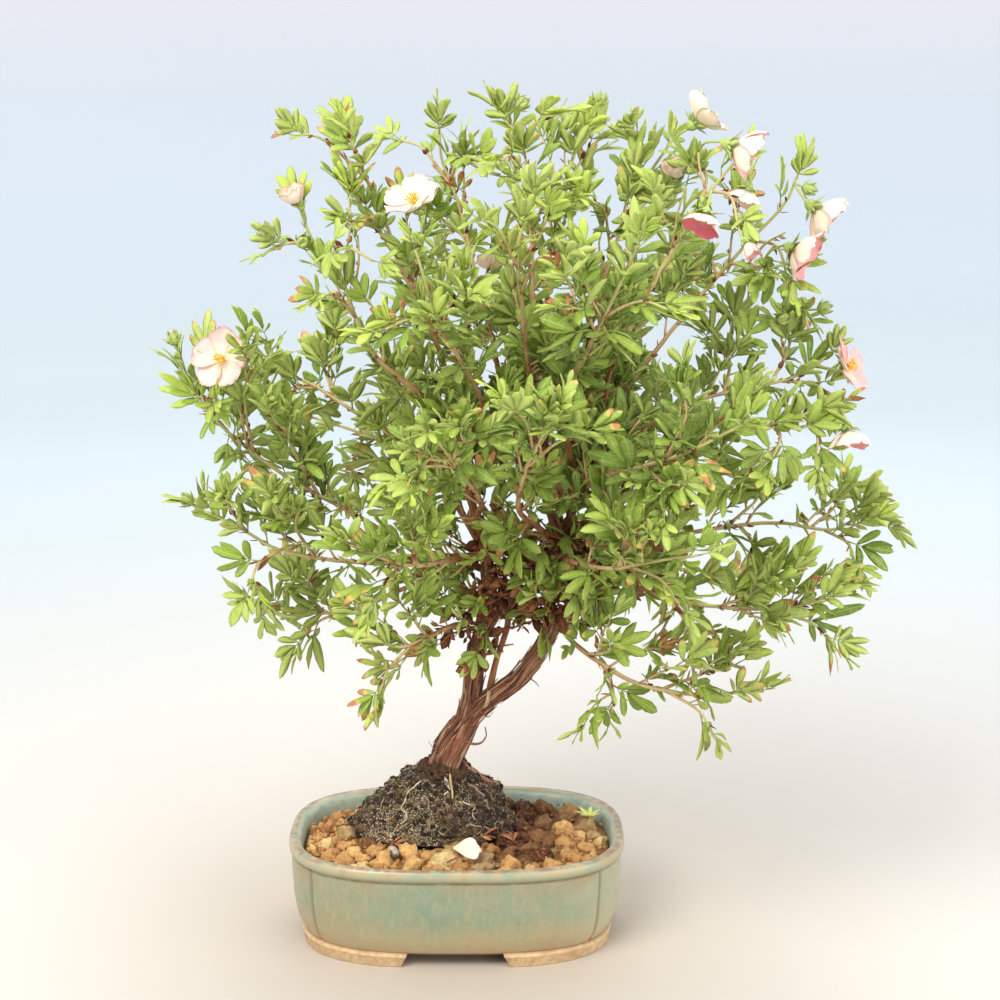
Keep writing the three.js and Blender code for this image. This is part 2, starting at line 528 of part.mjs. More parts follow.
// Axes of all the leafy shoots of a spray, the main one first, each with its share range and radii
function shootsOf(name) {
  const [limb, points, sides] = SPRAYS[name];
  const { axis, woodEnd } = shootAxis(limb);
  const from = woodEnd + SHOOT_JOIN_GAP / axis.getLength();
  const steps = points.length - Number(points.length > 3);
  const main = { axis, from, to: 1, radii: SHOOT_RADII, steps, branches: sides.length };
  const branches = sides.map(([share, tip]) => {
    const t = from + (1 - from) * share;
    const start = shootPoint(main, t);
    const end = vec(tip);
    const reach = start.distanceTo(end);
    const middle = start.clone().lerp(end, 0.5).addScaledVector(axis.getTangent(t), 0.15 * reach);
    middle.z += 0.06 * reach;
    return {
      axis: axisThrough([start.toArray(), middle.toArray(), tip]),
      from: 0, to: 1, radii: SIDE_SHOOT_RADII, steps: 2, branches: 0,
    };
  });
  return [main, ...branches];
}

// Places on a shoot where a leaf grows: at the tip, and further down where there is room
function leafPlaces(shoot, key) {
  const turn = 2 * Math.PI * draw(...key, 1);
  if (shoot.branches === 0) return [{ t: 1, azimuth: turn, splay: 0.5, pairs: 1 }];
  const below = shoot.from + 0.6 * (1 - shoot.from);
  const places = [
    { t: 1, azimuth: turn, splay: 0.35, pairs: 2 },
    { t: 0.94, azimuth: turn + Math.PI, splay: 0.85, pairs: 1 },
  ];
  if (shoot.branches < 3) places.push({ t: below, azimuth: turn + 1.7, splay: 0.9, pairs: 1 });
  return places;
}

// Frame of a leaf that leaves a shoot: forward along the leaf, its face up and towards the shoot
function leafFrame(shoot, { t, azimuth, splay }, size) {
  const at = shootPoint(shoot, t);
  const along = shoot.axis.getTangent(t);
  const upright = Math.abs(along.z) >= 0.9;
  const across = along.clone().cross(vec(upright ? [1, 0, 0] : [0, 0, 1])).normalize();
  const third = along.clone().cross(across);
  const out = across.multiplyScalar(Math.cos(azimuth)).addScaledVector(third, Math.sin(azimuth));
  const forward = along.clone().multiplyScalar(Math.cos(splay)).addScaledVector(out, Math.sin(splay));
  const face = along.clone().addScaledVector(out, -0.4);
  face.z += 1.1;
  return frameAt(at, forward, face, size);
}

function frameAt(at, forward, face, size) {
  const x = forward.clone().normalize();
  const z = face.clone().addScaledVector(x, -face.dot(x)).normalize();
  const y = z.clone().cross(x);
  return new THREE.Matrix4().makeBasis(x, y, z).scale(new THREE.Vector3(size, size, size)).setPosition(at);
}

// One compound leaf as a single arched blade along +X, cut to the rib between its leaflets, still
// open at its rear. Two hubs on its rib are where the leaflets meet; every point of the outline
// belongs to one of them
function leafSurface(arch, pairs) {
  const points = [];
  const outline = [];
  const droop = (x, y) => arch * ((x * x + y * y) / (LEAF_LENGTH * LEAF_LENGTH));
  const put = (x, y, z) => points.push(vec([x, y, z - droop(x, y)])) - 1;
  const notch = ([x, y], side, hub) => {
    const point = put(x, side * y, 0);
    outline.push({ point, hub });
    return point;
  };
  const leaflet = ({ angle, length, half, hub }, side) => {
    const [cos, sin] = [Math.cos(angle), side * Math.sin(angle)];
    const widest = WIDEST_SHARE * length;
    for (const [along, across, z] of [[widest, -half, 0.5], [length, 0, -0.3], [widest, half, 0.5]]) {
      const point = put(LEAF_HUBS[hub] + cos * along - sin * across, sin * along + cos * across, z);
      outline.push({ point, hub });
    }
  };
  const rearRight = notch(LEAF_NOTCHES.rear, -1, 0);
  if (pairs > 1) leaflet(OUTER_LEAFLET, -1);
  const middleRight = notch(LEAF_NOTCHES.middle, -1, 1);
  leaflet(INNER_LEAFLET, -1);
  notch(LEAF_NOTCHES.front, -1, 1);
  leaflet(END_LEAFLET, 1);
  notch(LEAF_NOTCHES.front, 1, 1);
  leaflet(INNER_LEAFLET, 1);
  const middleLeft = notch(LEAF_NOTCHES.middle, 1, 0);
  if (pairs > 1) leaflet(OUTER_LEAFLET, 1);
  const rearLeft = notch(LEAF_NOTCHES.rear, 1, 0);

  const [top0, top1] = LEAF_HUBS.map((x) => put(x, 0, HALF_RIB));
  const [under0, under1] = LEAF_HUBS.map((x) => put(x, 0, -HALF_RIB));
  const faces = [];
  for (let i = 0; i + 1 < outline.length; i += 1) {
    const { point, hub } = outline[i];
    const next = outline[i + 1].point;
    faces.push([top0, top1][hub], point, next, [under0, under1][hub], next, point);
  }
  faces.push(top0, middleRight, top1, under0, under1, middleRight);
  faces.push(top0, top1, middleLeft, under0, middleLeft, under1);
  return { points, faces, rear: [rearLeft, top0, rearRight, under0] };
}

// A closed leaf on a pointed stalk
function leafBlade(arch, pairs) {
  const { points, faces, rear } = leafSurface(arch, pairs);
  const root = points.push(vec([STALK_ROOT, 0, 0])) - 1;
  rear.forEach((point, i) => faces.push(root, rear[(i + 1) % rear.length], point));
  return geometryOf(points.flatMap((p) => p.toArray()), faces);
}

// A leafy shoot whose skin runs on into the leaf at its tip
function shootWithLeaf(axis, range, frame, arch, pairs) {
  const rings = stemRings(axis, { ...range, sides: SHOOT_SIDES });
  const points = rings.flat();
  const faces = [0, 2, 1];
  for (let i = 0; i + 1 < rings.length; i += 1) {
    for (let j = 0; j < SHOOT_SIDES; j += 1) {
      const a = i * SHOOT_SIDES + j;
      const b = i * SHOOT_SIDES + ((j + 1) % SHOOT_SIDES);
      faces.push(a, b, b + SHOOT_SIDES, a, b + SHOOT_SIDES, a + SHOOT_SIDES);
    }
  }
  const last = points.length - SHOOT_SIDES;
  const leaf = leafSurface(arch, pairs);
  const first = points.length;
  points.push(...leaf.points.map((p) => p.applyMatrix4(frame)));
  faces.push(...leaf.faces.map((index) => index + first));
  const around = [0, 1, 2].map((j) => last + j);
  stitch(points, faces, around, leaf.rear.map((index) => index + first));
  return geometryOf(points.flatMap((p) => p.toArray()), faces);
}

// Triangles between two rings of points with different counts, which advance side by side
function stitch(points, faces, ringA, ringB) {
  const gap = (j) => points[ringA[0]].distanceTo(points[ringB[j]]);
  const start = ringB.reduce((nearest, unused, j) => (gap(j) < gap(nearest) ? j : nearest), 0);
  let [i, j] = [0, 0];
  while (i + j < ringA.length + ringB.length) {
    const a = ringA[i % ringA.length];
    const b = ringB[(start + j) % ringB.length];
    if ((i + 0.5) / ringA.length < (j + 0.5) / ringB.length) {
      faces.push(a, ringA[(i + 1) % ringA.length], b);
      i += 1;
    } else {
      faces.push(a, ringB[(start + j + 1) % ringB.length], b);
      j += 1;
    }
  }
}

// Points down the middle of each leaflet, for keeping leaves of different sprays apart
function leafletPoints(frame) {
  const points = [];
  for (const { angle, length, hub } of [OUTER_LEAFLET, INNER_LEAFLET, END_LEAFLET]) {
    for (const side of angle === 0 ? [1] : [-1, 1]) {
      for (const share of [0.3, 0.6, 0.9]) {
        const x = LEAF_HUBS[hub] + share * length * Math.cos(angle);
        const y = side * share * length * Math.sin(angle);
        points.push(vec([x, y, 0]).applyMatrix4(frame));
      }
    }
  }
  return points;
}

// What already takes up room, as balls that know which node they belong to
const taken = [];

function take(node, points, radius, leafy = false) {
  points.forEach((point) => taken.push({ node, point, radius, leafy }));
}

// Room is asked for in full from other nodes, and less of it from leaves of the same spray
function isFree(node, points, radius) {
  return taken.every((ball) => {
    if (ball.node === node && !ball.leafy) return true;
    const apart = (ball.radius + radius) * (ball.node === node ? OWN_LEAF_SHARE : 1);
    return points.every((point) => point.distanceTo(ball.point) > apart);
  });
}

function pointsAlong(shoot, start = shoot.from) {
  const range = shoot.to - start;
  const count = Math.max(2, Math.ceil((range * shoot.axis.getLength()) / 3));
  return Array.from({ length: count + 1 }, (unused, i) => shootPoint(shoot, start + (range * i) / count));
}

// Half the angle between a petal and the way the bloom faces
function petalLean(open) {
  return THREE.MathUtils.degToRad(12 + 73 * open);
}

function bloomFrame(at, face) {
  const turn = new THREE.Quaternion().setFromUnitVectors(vec([0, 0, 1]), vec(face).normalize());
  return new THREE.Matrix4().makeRotationFromQuaternion(turn).setPosition(vec(at));
}

// A point of a petal: distance from the bloom's centre, offset across and out of its inner face
function petalPoint(turn, lean, along, across, lift) {
  const outward = along * Math.sin(lean) - lift * Math.cos(lean);
  const height = along * Math.cos(lean) + lift * Math.sin(lean);
  return vec([
    outward * Math.cos(turn) - across * Math.sin(turn),
    outward * Math.sin(turn) + across * Math.cos(turn),
    height,
  ]);
}

// Five cupped petals as one body, parted to near the centre
function petals(open, size, seed) {
  const positions = [];
  const put = (point) => {
    positions.push(point.x, point.y, point.z);
    return positions.length / 3 - 1;
  };
  const lean = petalLean(open);
  const hubTop = put(vec([0, 0, HALF_RIB]));
  const hubUnder = put(vec([0, 0, -HALF_RIB]));
  const step = (2 * Math.PI) / PETAL_COUNT;
  const partings = [];
  for (let i = 0; i < PETAL_COUNT; i += 1) {
    partings.push(put(petalPoint((i - 0.5) * step, lean, 3 * size, 0, 0)));
  }
  const faces = [];
  for (let i = 0; i < PETAL_COUNT; i += 1) {
    const own = lean + 0.16 * (draw(31, seed, i) - 0.5);
    const length = BLOOM_RADIUS * size * (0.95 + 0.1 * draw(32, seed, i));
    const widest = 0.7 * Math.sin(own);
    const at = (along, across, lift) => (
      put(petalPoint(i * step, own, along * length, across * length, lift))
    );
    const before = partings[i];
    const after = partings[(i + 1) % PETAL_COUNT];
    const shoulder = Math.min(0.4, 0.58 * widest);
    const edge = Math.min(0.37, 0.9 * widest);
    const rim = [before, at(0.58, -shoulder, 0), at(0.93, -edge, 0.6), at(0.95, 0, 0),
      at(0.93, edge, 0.6), at(0.58, shoulder, 0), after];
    const inner = at(0.55, 0, -0.5);
    const outer = at(0.55, 0, -1.2);
    for (let j = 0; j + 1 < rim.length; j += 1) {
      faces.push(inner, rim[j], rim[j + 1], outer, rim[j + 1], rim[j]);
    }
    faces.push(hubTop, before, inner, hubTop, inner, after);
    faces.push(hubUnder, outer, before, hubUnder, after, outer);
  }
  return geometryOf(positions, faces);
}

// A stack of level rings around the facing axis: pairs of height and radius
function turned(levels, sides) {
  return loft(levels.map(([z, radius]) => Array.from({ length: sides }, (unused, j) => {
    const angle = (2 * Math.PI * j) / sides;
    return vec([radius * Math.cos(angle), radius * Math.sin(angle), z]);
  })));
}

// The boss of stamens, seated in the cup of the petals
function stamens(open, size) {
  const rise = 1 / Math.tan(petalLean(open) - 0.08);
  const floor = HALF_RIB + SEAT_GAP;
  const radii = [0.6, 2.6, 2.8, 1.2].map((radius) => radius * size);
  const level = (radius, above) => [floor + radius * rise + above, radius];
  const [seat, side, widest, top] = radii;
  const crown = level(side, 1.4)[0];
  return turned([level(seat, 0.1), level(side, 0.4), [crown, widest], [crown + 0.7, top]], 6);
}

// The point of a spray's shoots that is nearest to a place
function nearestOnSpray(name, place) {
  const options = shootsOf(name).flatMap((shoot) => (
    pointsAlong(shoot, shoot.from + 0.2 * (shoot.to - shoot.from))
  ));
  return options.reduce((best, point) => (
    point.distanceTo(place) < best.distanceTo(place) ? point : best
  ));
}

// A stalk from a spray's nearest shoot that swells into a calyx or bud; its rings are given as the
// height along the facing axis and the radius
function stalked(carrier, frame, rings) {
  const foot = vec([0, 0, rings[0][0]]).applyMatrix4(frame);
  const start = nearestOnSpray(carrier, foot);
  take(`spray_${carrier}`, [start.clone().lerp(foot, 0.5), foot], 1.2);
  const toFoot = foot.clone().sub(start);
  const across = toFoot.clone().cross(vec([0, 0, 1]).transformDirection(frame));
  if (across.length() < 0.01) across.set(toFoot.y, -toFoot.x, 0.1);
  across.normalize();
  const ringAt = (centre, along, radius) => {
    const beside = along.clone().normalize().cross(across);
    return [0, 1, 2].map((third) => {
      const angle = (third * 2 * Math.PI) / 3;
      return centre.clone()
        .addScaledVector(across, radius * Math.cos(angle))
        .addScaledVector(beside, radius * Math.sin(angle));
    });
  };
  const facing = vec([0, 0, 1]).transformDirection(frame);
  const swell = rings.map(([z, radius]) => ringAt(vec([0, 0, z]).applyMatrix4(frame), facing, radius));
  return solidOf(loft([ringAt(start, toFoot, STALK_RADIUS), ...swell]));
}

function calyxAndStalk(carrier, at, face, size) {
  const top = -HALF_RIB - SEAT_GAP;
  const rings = [[-6.5, STALK_RADIUS], [-3.2, 2.7 * size], [top, 2.8 * size]];
  return stalked(carrier, bloomFrame(at, face), rings);
}

function budAndStalk(carrier, at) {
  const place = vec(at);
  const face = place.clone().sub(nearestOnSpray(carrier, place));
  return stalked(carrier, bloomFrame(at, face.toArray()), [[-3, 0.8], [0, 2.6], [3, 0.8]]);
}

// The first frame for a leaf that leaves room for what is there, or none
function roomyFrame(node, shoot, place, size) {
  for (let attempt = 0; attempt < LEAF_ATTEMPTS; attempt += 1) {
    const frame = leafFrame(shoot, { ...place, azimuth: place.azimuth + 0.78 * attempt }, size);
    const points = leafletPoints(frame);
    if (isFree(node, points, LEAFLET_ROOM)) {
      take(node, points, LEAFLET_ROOM, true);
      return frame;
    }
  }
  return null;
}

// A shoot and its leaves; the first place is the tip
function leafyShoot(node, shoot, key) {
  const solids = [];
  leafPlaces(shoot, key).forEach((place, leaf) => {
    const size = 0.88 + 0.2 * draw(...key, leaf, 1);
    const arch = 2 + 4 * draw(...key, leaf, 2);
    const frame = roomyFrame(node, shoot, place, size);
    if (leaf === 0) {
      const grown = frame
        ? shootWithLeaf(shoot.axis, shoot, frame, arch, place.pairs)
        : stem(shoot.axis, { ...shoot, sides: SHOOT_SIDES });
      solids.push(solidOf(grown));
    } else if (frame) {
      solids.push(solidOf(leafBlade(arch, place.pairs).applyMatrix4(frame)));
    }
  });
  return solids;
}

function makeSpray(name, index) {
  const node = `spray_${name}`;
  const solids = shootsOf(name).flatMap((shoot, branch) => leafyShoot(node, shoot, [41, index, branch]));
  for (const [carrier, at, face, size] of Object.values(BLOOMS)) {
    if (carrier === name) solids.push(calyxAndStalk(name, at, face, size));
  }
  for (const [carrier, at] of BUDS) {
    if (carrier === name) solids.push(budAndStalk(name, at));
  }
  return mainBody(joined(solids));
}

// A loose petal, cupped, lying on the grains
function loosePetal() {
  const oneSide = [[-6, 1.5, 0], [-1, 5.5, 0.8], [5, 5, 1]];
  const otherSide = oneSide.map(([x, y, z]) => [x, -y, z]);
  const rim = [...otherSide, [7, 0, 0.4], ...oneSide.reverse()];
  const positions = [...rim.flat(), 0, 0, -0.2, 0, 0, -1];
  const [top, under] = [rim.length, rim.length + 1];
  const faces = [];
  for (let j = 0; j < rim.length; j += 1) {
    const next = (j + 1) % rim.length;
    faces.push(top, j, next, under, next, j);
  }
  return geometryOf(positions, faces).rotateZ(0.3).translate(...FALLEN_PETAL_PLACE);
}

function deadLeaf() {
  const curl = leafBlade(9, 2);
  return curl.scale(0.42, 0.42, 0.6).rotateX(-0.25).rotateZ(-0.6).translate(...DEAD_LEAF_PLACE);
}

function weedStalk(grow) {
  const [x, y, z] = WEED_PLACE;
  const axis = axisThrough([[x, y, z - 3], [x, y, z], [x, y, z + 7]]);
  return solidOf(stem(axis, { radii: [0.9, 0.7], sides: 5, steps: 2, grow }));
}

// A sprout with three leaves on a short stalk that stands in a plain hole in the grains
function makeWeed() {
  const [x, y, z] = WEED_PLACE;
  const leaves = [0, 1, 2].map((i) => {
    const leaf = leafBlade(-5, 1).scale(0.42, 0.42, 0.7).rotateY(-0.35);
    return solidOf(leaf.rotateZ(0.7 + 2.1 * i).translate(x, y, z + 6));
  });
  return mainBody(joined([weedStalk(0), ...leaves]));
}

function makeMesh(name, geometry, color, roughness) {
  const mesh = new THREE.Mesh(geometry, new THREE.MeshStandardMaterial({ color, roughness, metalness: 0 }));
  mesh.name = name;
  return mesh;
}

const bonsai = new THREE.Group();

function addSolid(name, solid, color, roughness) {
  bonsai.add(makeMesh(name, geometryFromSolid(solid), color, roughness));
}

function addPotAndSoil() {
  const seats = [heap(SEAT_GAP), seatOf(loosePetal()), seatOf(deadLeaf()), weedStalk(SEAT_GAP)];
  addSolid('pot', makePot(), 0x96b9a0, 0.35);
  addSolid('soil_fill', makeSoil(), 0x4a382a, 0.95);
  addSolid('root_mound', makeMound(), 0x33291f, 0.95);
  addSolid('grain_layer', makeGrains(seats), 0xb98f5a, 0.9);
  addSolid('fallen_petal', solidOf(loosePetal()), 0xf6dccd, 0.6);
  addSolid('dead_leaf', solidOf(deadLeaf()), 0x8c4b2c, 0.8);
  addSolid('weed', makeWeed(), 0xb4be3c, 0.6);
}

function addBlooms() {
  Object.entries(BLOOMS).forEach(([name, [carrier, at, face, size, open, showsStamens]], index) => {
    const frame = bloomFrame(at, face);
    const lean = petalLean(open);
    const reach = [0.35, 0.65, 0.9].map((share) => share * BLOOM_RADIUS * size);
    for (let i = 0; i < PETAL_COUNT; i += 1) {
      const turn = (2 * Math.PI * i) / PETAL_COUNT;
      const points = reach.map((along) => petalPoint(turn, lean, along, 0, 0).applyMatrix4(frame));
      take(`bloom_${name}`, points, 4 * size);
    }
    addSolid(`bloom_${name}`, solidOf(petals(open, size, index).applyMatrix4(frame)), 0xf7cfc4, 0.55);
    if (showsStamens) {
      addSolid(`stamens_${name}`, solidOf(stamens(open, size).applyMatrix4(frame)), 0xe8b83c, 0.7);
    }
  });
}

function addPlant() {
  for (const [limb, [start, , points]] of Object.entries(LIMBS)) {
    const { axis, woodEnd } = shootAxis(limb);
    const wood = { axis, from: 0, to: woodEnd, steps: points.length - 1 };
    take('trunk_and_branches', pointsAlong(wood), start);
  }
  for (const name of Object.keys(SPRAYS)) {
    shootsOf(name).forEach((shoot) => take(`spray_${name}`, pointsAlong(shoot), 1));
  }
  addSolid('trunk_and_branches', makeWood(), 0x7a4a32, 0.9);
  addBlooms();
  Object.keys(SPRAYS).forEach((name, index) => {
    addSolid(`spray_${name}`, makeSpray(name, index), 0x7f9e4e, 0.6);
  });
}

addPotAndSoil();
addPlant();

// The origin is on the ground, under the middle of the whole object's box
const box = new THREE.Box3().setFromObject(bonsai);
const middle = box.getCenter(new THREE.Vector3());
bonsai.position.set(-middle.x, -middle.y, -box.min.z);

export default bonsai;
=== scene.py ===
import bmesh
import bpy
import numpy as np
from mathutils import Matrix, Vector


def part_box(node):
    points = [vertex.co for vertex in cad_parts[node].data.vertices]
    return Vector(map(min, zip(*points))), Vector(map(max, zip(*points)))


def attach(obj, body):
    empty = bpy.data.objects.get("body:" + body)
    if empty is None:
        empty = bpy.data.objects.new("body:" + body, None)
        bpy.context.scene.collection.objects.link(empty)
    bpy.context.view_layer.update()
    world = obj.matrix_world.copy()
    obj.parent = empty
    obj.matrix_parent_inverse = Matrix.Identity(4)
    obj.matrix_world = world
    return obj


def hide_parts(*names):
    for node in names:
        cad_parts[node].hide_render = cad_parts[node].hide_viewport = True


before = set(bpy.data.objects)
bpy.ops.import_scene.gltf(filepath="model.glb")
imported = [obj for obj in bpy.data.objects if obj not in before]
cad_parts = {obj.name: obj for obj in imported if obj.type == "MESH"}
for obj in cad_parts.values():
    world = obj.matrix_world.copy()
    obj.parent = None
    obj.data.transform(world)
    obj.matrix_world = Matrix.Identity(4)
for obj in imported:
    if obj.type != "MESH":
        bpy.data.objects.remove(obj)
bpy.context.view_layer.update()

POT_LOW, POT_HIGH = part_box("pot")
ORIGIN = np.array([(POT_LOW.x + POT_HIGH.x) / 2, (POT_LOW.y + POT_HIGH.y) / 2, 0.0])
# One millimetre in metres
MM = 0.001

# The camera's place, the angle it looks down at, its lens and the width of its picture
CAMERA_PLACE = (20.6, -903.4, 415.6)
CAMERA_TILT = 12.8
CAMERA_LENS = 72.18
SENSOR_WIDTH = 36
VIEWER = np.array(CAMERA_PLACE)

# The pot's plan is a superellipse with these half axes at the rim
POT_HALF_LENGTH = 80
POT_HALF_DEPTH = 56
POT_ROUNDNESS = 2.9
# The grooves: their angles in degrees, half their width in radians, and their depth
POT_GROOVES = (37.4, 142.6, 217.4, 322.6)
GROOVE_WIDTH = 0.026
GROOVE_DEPTH = 0.8
GROOVE_STEPS = np.array([-1.2, -1, -0.6, -0.3, 0, 0.3, 0.6, 1, 1.2])
POT_SIDES = 168
# Each ring's distance in from the rim's outer edge, and its height
POT_PROFILE = [
    (11, 6), (8, 6), (7.2, 6.5), (6.2, 8.1), (4.9, 10.5), (3.9, 13), (3, 16.5), (2.4, 20.2),
    (1.9, 24.2), (1.65, 28.2), (1.5, 32.2), (1.35, 36.2), (1.3, 40.6), (1.4, 42.6), (1.55, 43.6),
    (1.25, 44.2), (0.6, 44.9), (0.15, 45.7), (0, 46.7), (0, 47.8), (0.3, 48.7), (0.9, 49.5),
    (1.8, 49.95), (3, 49.9),
    (4.2, 49.4), (5.1, 48.6), (5.8, 47.5), (6.3, 45.6), (6.8, 40), (7.5, 30), (9.5, 20), (13.5, 10.5),
]
# The first rings are outside, up to the lip, which starts at this height
OUTER_RINGS = 26
LIP_HEIGHT = 44
LIP_TOP = 49.75
# A foot's section by distance in from the rim and height, and half the gaps between the feet
FOOT_SECTION = [
    (17, 0), (7, 0), (6.5, 0.5), (6.5, 4.5), (5.9, 5), (5.9, 6), (7, 7), (18, 7), (17.4, 0.5),
]
# The gaps narrow by this much for each millimetre of height
FOOT_SLANT = 0.5
FOOT_GAP_FRONT = 25.5
FOOT_GAP_SIDE = 15
FOOT_STEPS = 34
# The drain holes, and the floor's underside, top and distance in from the rim
DRAIN_RADIUS = 6
DRAIN_SPACING = 70
FLOOR = (6.02, 10.48)
FLOOR_INSET = 13.7
FLOOR_SIDES = 72

# What fills the pot. Rings are given by distance in from the rim and height.
SOIL_RINGS = [(14.4, 10.8), (11, 20), (8.2, 30), (8.2, 33.9)]
SOIL_SIDES = 96
GRAIN_LEVEL = 42.5
BED_RINGS = [(8.1, 34.4), (7.4, 41), (8, 42.2), (12, 43), (20, 43.1), (30, 43), (44, 43), (54.5, 43)]
BED_SIDES = 120
# Grains from large to small: least and greatest size, tries, and their spacing as a share of their sizes
GRAIN_KINDS = [
    (5.6, 7.4, 700, 0.84), (4.2, 5.6, 1200, 0.84), (3.0, 4.2, 2000, 0.84), (2.0, 3.0, 2600, 0.8),
    (1.1, 2.0, 4200, 0.78),
]
MOUND_BASE = (-12, 12)
MOUND_TOP = (-7, 12)
MOUND_RADII = (41, 28.5)
MOUND_SIDES = 13
TRUNK_FOOT = (-6.8, 12.8)
# Heights of the mound's levels, and how wide it is there as a share of its radii
MOUND_PROFILE = [(34, 1), (46, 1), (55, 0.87), (64, 0.68), (71, 0.47), (76, 0.27)]
# Number, radius and length of the mound's hair roots
HAIR_ROOTS = [(7, 0.22, 10), (64, 0.11, 8), (340, 0.09, 4)]
# Radius, tone, turn and level of each larger root on the mound, and the turn and level where it ends
LARGE_ROOTS = [
    (0.8, 0.9, 4.92, 4.95, 4.86, 3.5), (0.34, 0.8, 4.16, 4.2, 4.1, 1.1), (0.35, 0.2, 4.5, 3.4, 4.62, 1.1),
    (0.6, 0.1, 5.5, 4.0, 5.75, 1.2), (0.25, 0.6, 3.7, 3.8, 3.5, 1.2), (0.5, 0.15, 0.3, 4.2, 0.1, 1.2),
    (0.5, 0.4, 1.9, 4.2, 2.2, 1.2), (0.25, 0.75, 5.2, 3.1, 5.35, 1.3),
]

# Each limb's radius at its start and end, and its course
LIMBS = {
    "trunk": [7.2, 6.6, [[-9.5, 15, 64], [-5.5, 12, 80.5], [0, 10, 91.5], [4.5, 8, 103]]],
    "left_stem": [4.6, 2.5, [[4, 8, 102], [7, 8, 113], [8.5, 8, 127], [12, 10, 145], [15, 12, 157],
        [15, 12, 169], [14, 11, 181]]],
    "right_stem": [5.1, 2.2, [[6, 8, 102], [11.5, 6, 108.5], [19, 4, 115], [29.5, 2, 124], [38, 0, 135.5],
        [44, 0, 146], [49, 0, 155], [60, 0, 162], [66, 2, 173], [70, 5, 183]]],
    "middle_stem": [3.4, 2.3, [[13, 10, 145], [23, 12, 158], [35, 11, 165], [44, 10, 173], [50, 8, 186]]],
    "slender_stem": [1.6, 1.4, [[15, 5, 113], [19, 8, 131], [24, 11, 146], [24, 12, 158]]],
    "left_upright": [2.2, 1.1, [[14, 11, 181], [10, 10, 198], [3, 5, 223], [-1, 0, 248], [-4, -5, 272]]],
    "left_fan": [1.5, 1.1, [[3, 5, 223], [-7, -12, 246], [-15, -25, 264]]],
    "inner_upright": [2.1, 1.1, [[14, 11, 181], [21, 14, 207], [21, 16, 240], [19, 15, 273]]],
    "left_branch": [2.1, 1.2, [[14, 11, 181], [-3, 5, 182], [-17, 2, 186], [-31, 0, 194]]],
    "left_low_twig": [1.3, 1.1, [[-17, 2, 186], [-26, -5, 182]]],
    "left_lowest_twig": [1.4, 1.1, [[-3, 5, 182], [-15, 12, 169], [-27, 15, 163]]],
    "left_back_branch": [1.9, 1.1, [[14, 11, 181], [2, 22, 200], [-12, 22, 220], [-25, 20, 234]]],
    "left_back_twig": [1.4, 1.1, [[2, 22, 200], [-3, 40, 211]]],
    "centre_upright": [2.2, 1.1, [[50, 8, 186], [42, 8, 209], [37, 6, 237], [36, 5, 266], [36, 5, 289]]],
    "centre_back_upright": [1.7, 1.1, [[42, 8, 209], [42, 28, 238], [42, 40, 265], [42, 45, 283]]],
    "right_upright": [2.1, 1.1, [[50, 8, 186], [56, 10, 213], [60, 12, 250], [62, 10, 288]]],
    "right_fan": [1.6, 1.1, [[56, 10, 213], [66, -5, 244], [70, -20, 274]]],
    "right_upper_twig": [1.3, 1.1, [[60, 12, 248], [69, 12, 254], [78, 10, 260]]],
    "right_branch": [2, 1.1, [[70, 5, 183], [76, 3, 210], [83, 0, 229], [85, 0, 243]]],
    "right_front_twig": [1.4, 1.1, [[76, 3, 210], [81, -10, 222], [84, -20, 233]]],
    "right_long_branch": [1.9, 1.2, [[70, 5, 183], [80, 5, 188], [91, 5, 190]]],
    "right_low_twig": [1.7, 1.1, [[70, 5, 183], [74, -4, 183], [80, -10, 181]]],
    "right_lowest_twig": [1.7, 1.1, [[49, 0, 155], [51, -6, 152], [52, -12, 148]]],
    "right_back_twig": [1.7, 1.1, [[70, 5, 183], [70, 22, 196], [69, 40, 216]]],
    "right_back_low_twig": [1.6, 1.1, [[70, 5, 183], [70, 18, 176], [69, 30, 170]]],
    "upper_back_right_twig": [1.4, 1.1, [[42, 28, 238], [49, 42, 249], [54, 50, 253]]],
    "upper_back_left_twig": [1.4, 1.1, [[21, 16, 240], [13, 35, 245], [11, 45, 249]]],
    "back_centre_twig": [1.6, 1.1, [[42, 8, 209], [38, 30, 219], [35, 50, 229]]],
    "front_centre_twig": [1.8, 1.1, [[50, 8, 186], [39, -15, 200], [29, -40, 215]]],
    "front_left_twig": [1.6, 1.1, [[10, 10, 198], [11, -12, 208], [12, -35, 218]]],
    "front_upper_left_twig": [1.4, 1.1, [[3, 5, 223], [9, -10, 244], [12, -25, 262]]],
    "front_upper_right_twig": [1.6, 1.1, [[56, 10, 213], [51, -12, 241], [47, -30, 262]]],
    "front_right_twig": [1.5, 1.1, [[76, 3, 210], [68, -15, 218], [60, -35, 227]]],
    "front_low_right_twig": [1.6, 1.1, [[50, 8, 186], [51, -12, 187], [52, -30, 189]]],
    "front_low_left_twig": [1.6, 1.1, [[14, 11, 181], [6, -4, 183], [-2, -20, 187]]],
    "hanging_twig": [1.6, 1.1, [[13, 10, 145], [7, 2, 148], [0, -5, 152]]],
    "crown_front_twig": [1.3, 1.1, [[36, 5, 266], [34, -12, 270], [33, -28, 278]]],
}
# Limbs that start thicker than this are drawn with more sides and older bark
THICK_STEM = 1.8
# How the two stems run down the trunk as fused strands, below their own course
STRANDS = {
    "left_stem": [[-11.5, 12, 70], [-9.2, 10.5, 79], [-4.8, 8.5, 90]],
    "right_stem": [[-5.5, 10, 70], [-3, 8.5, 80], [1.6, 7, 91.5]],
}
# Sides and depth of the ridges of the thick, furrowed limbs
THICK_LIMBS = {
    "trunk": (84, 0.75), "left_stem": (60, 0.55), "right_stem": (60, 0.55), "middle_stem": (44, 0.4),
}

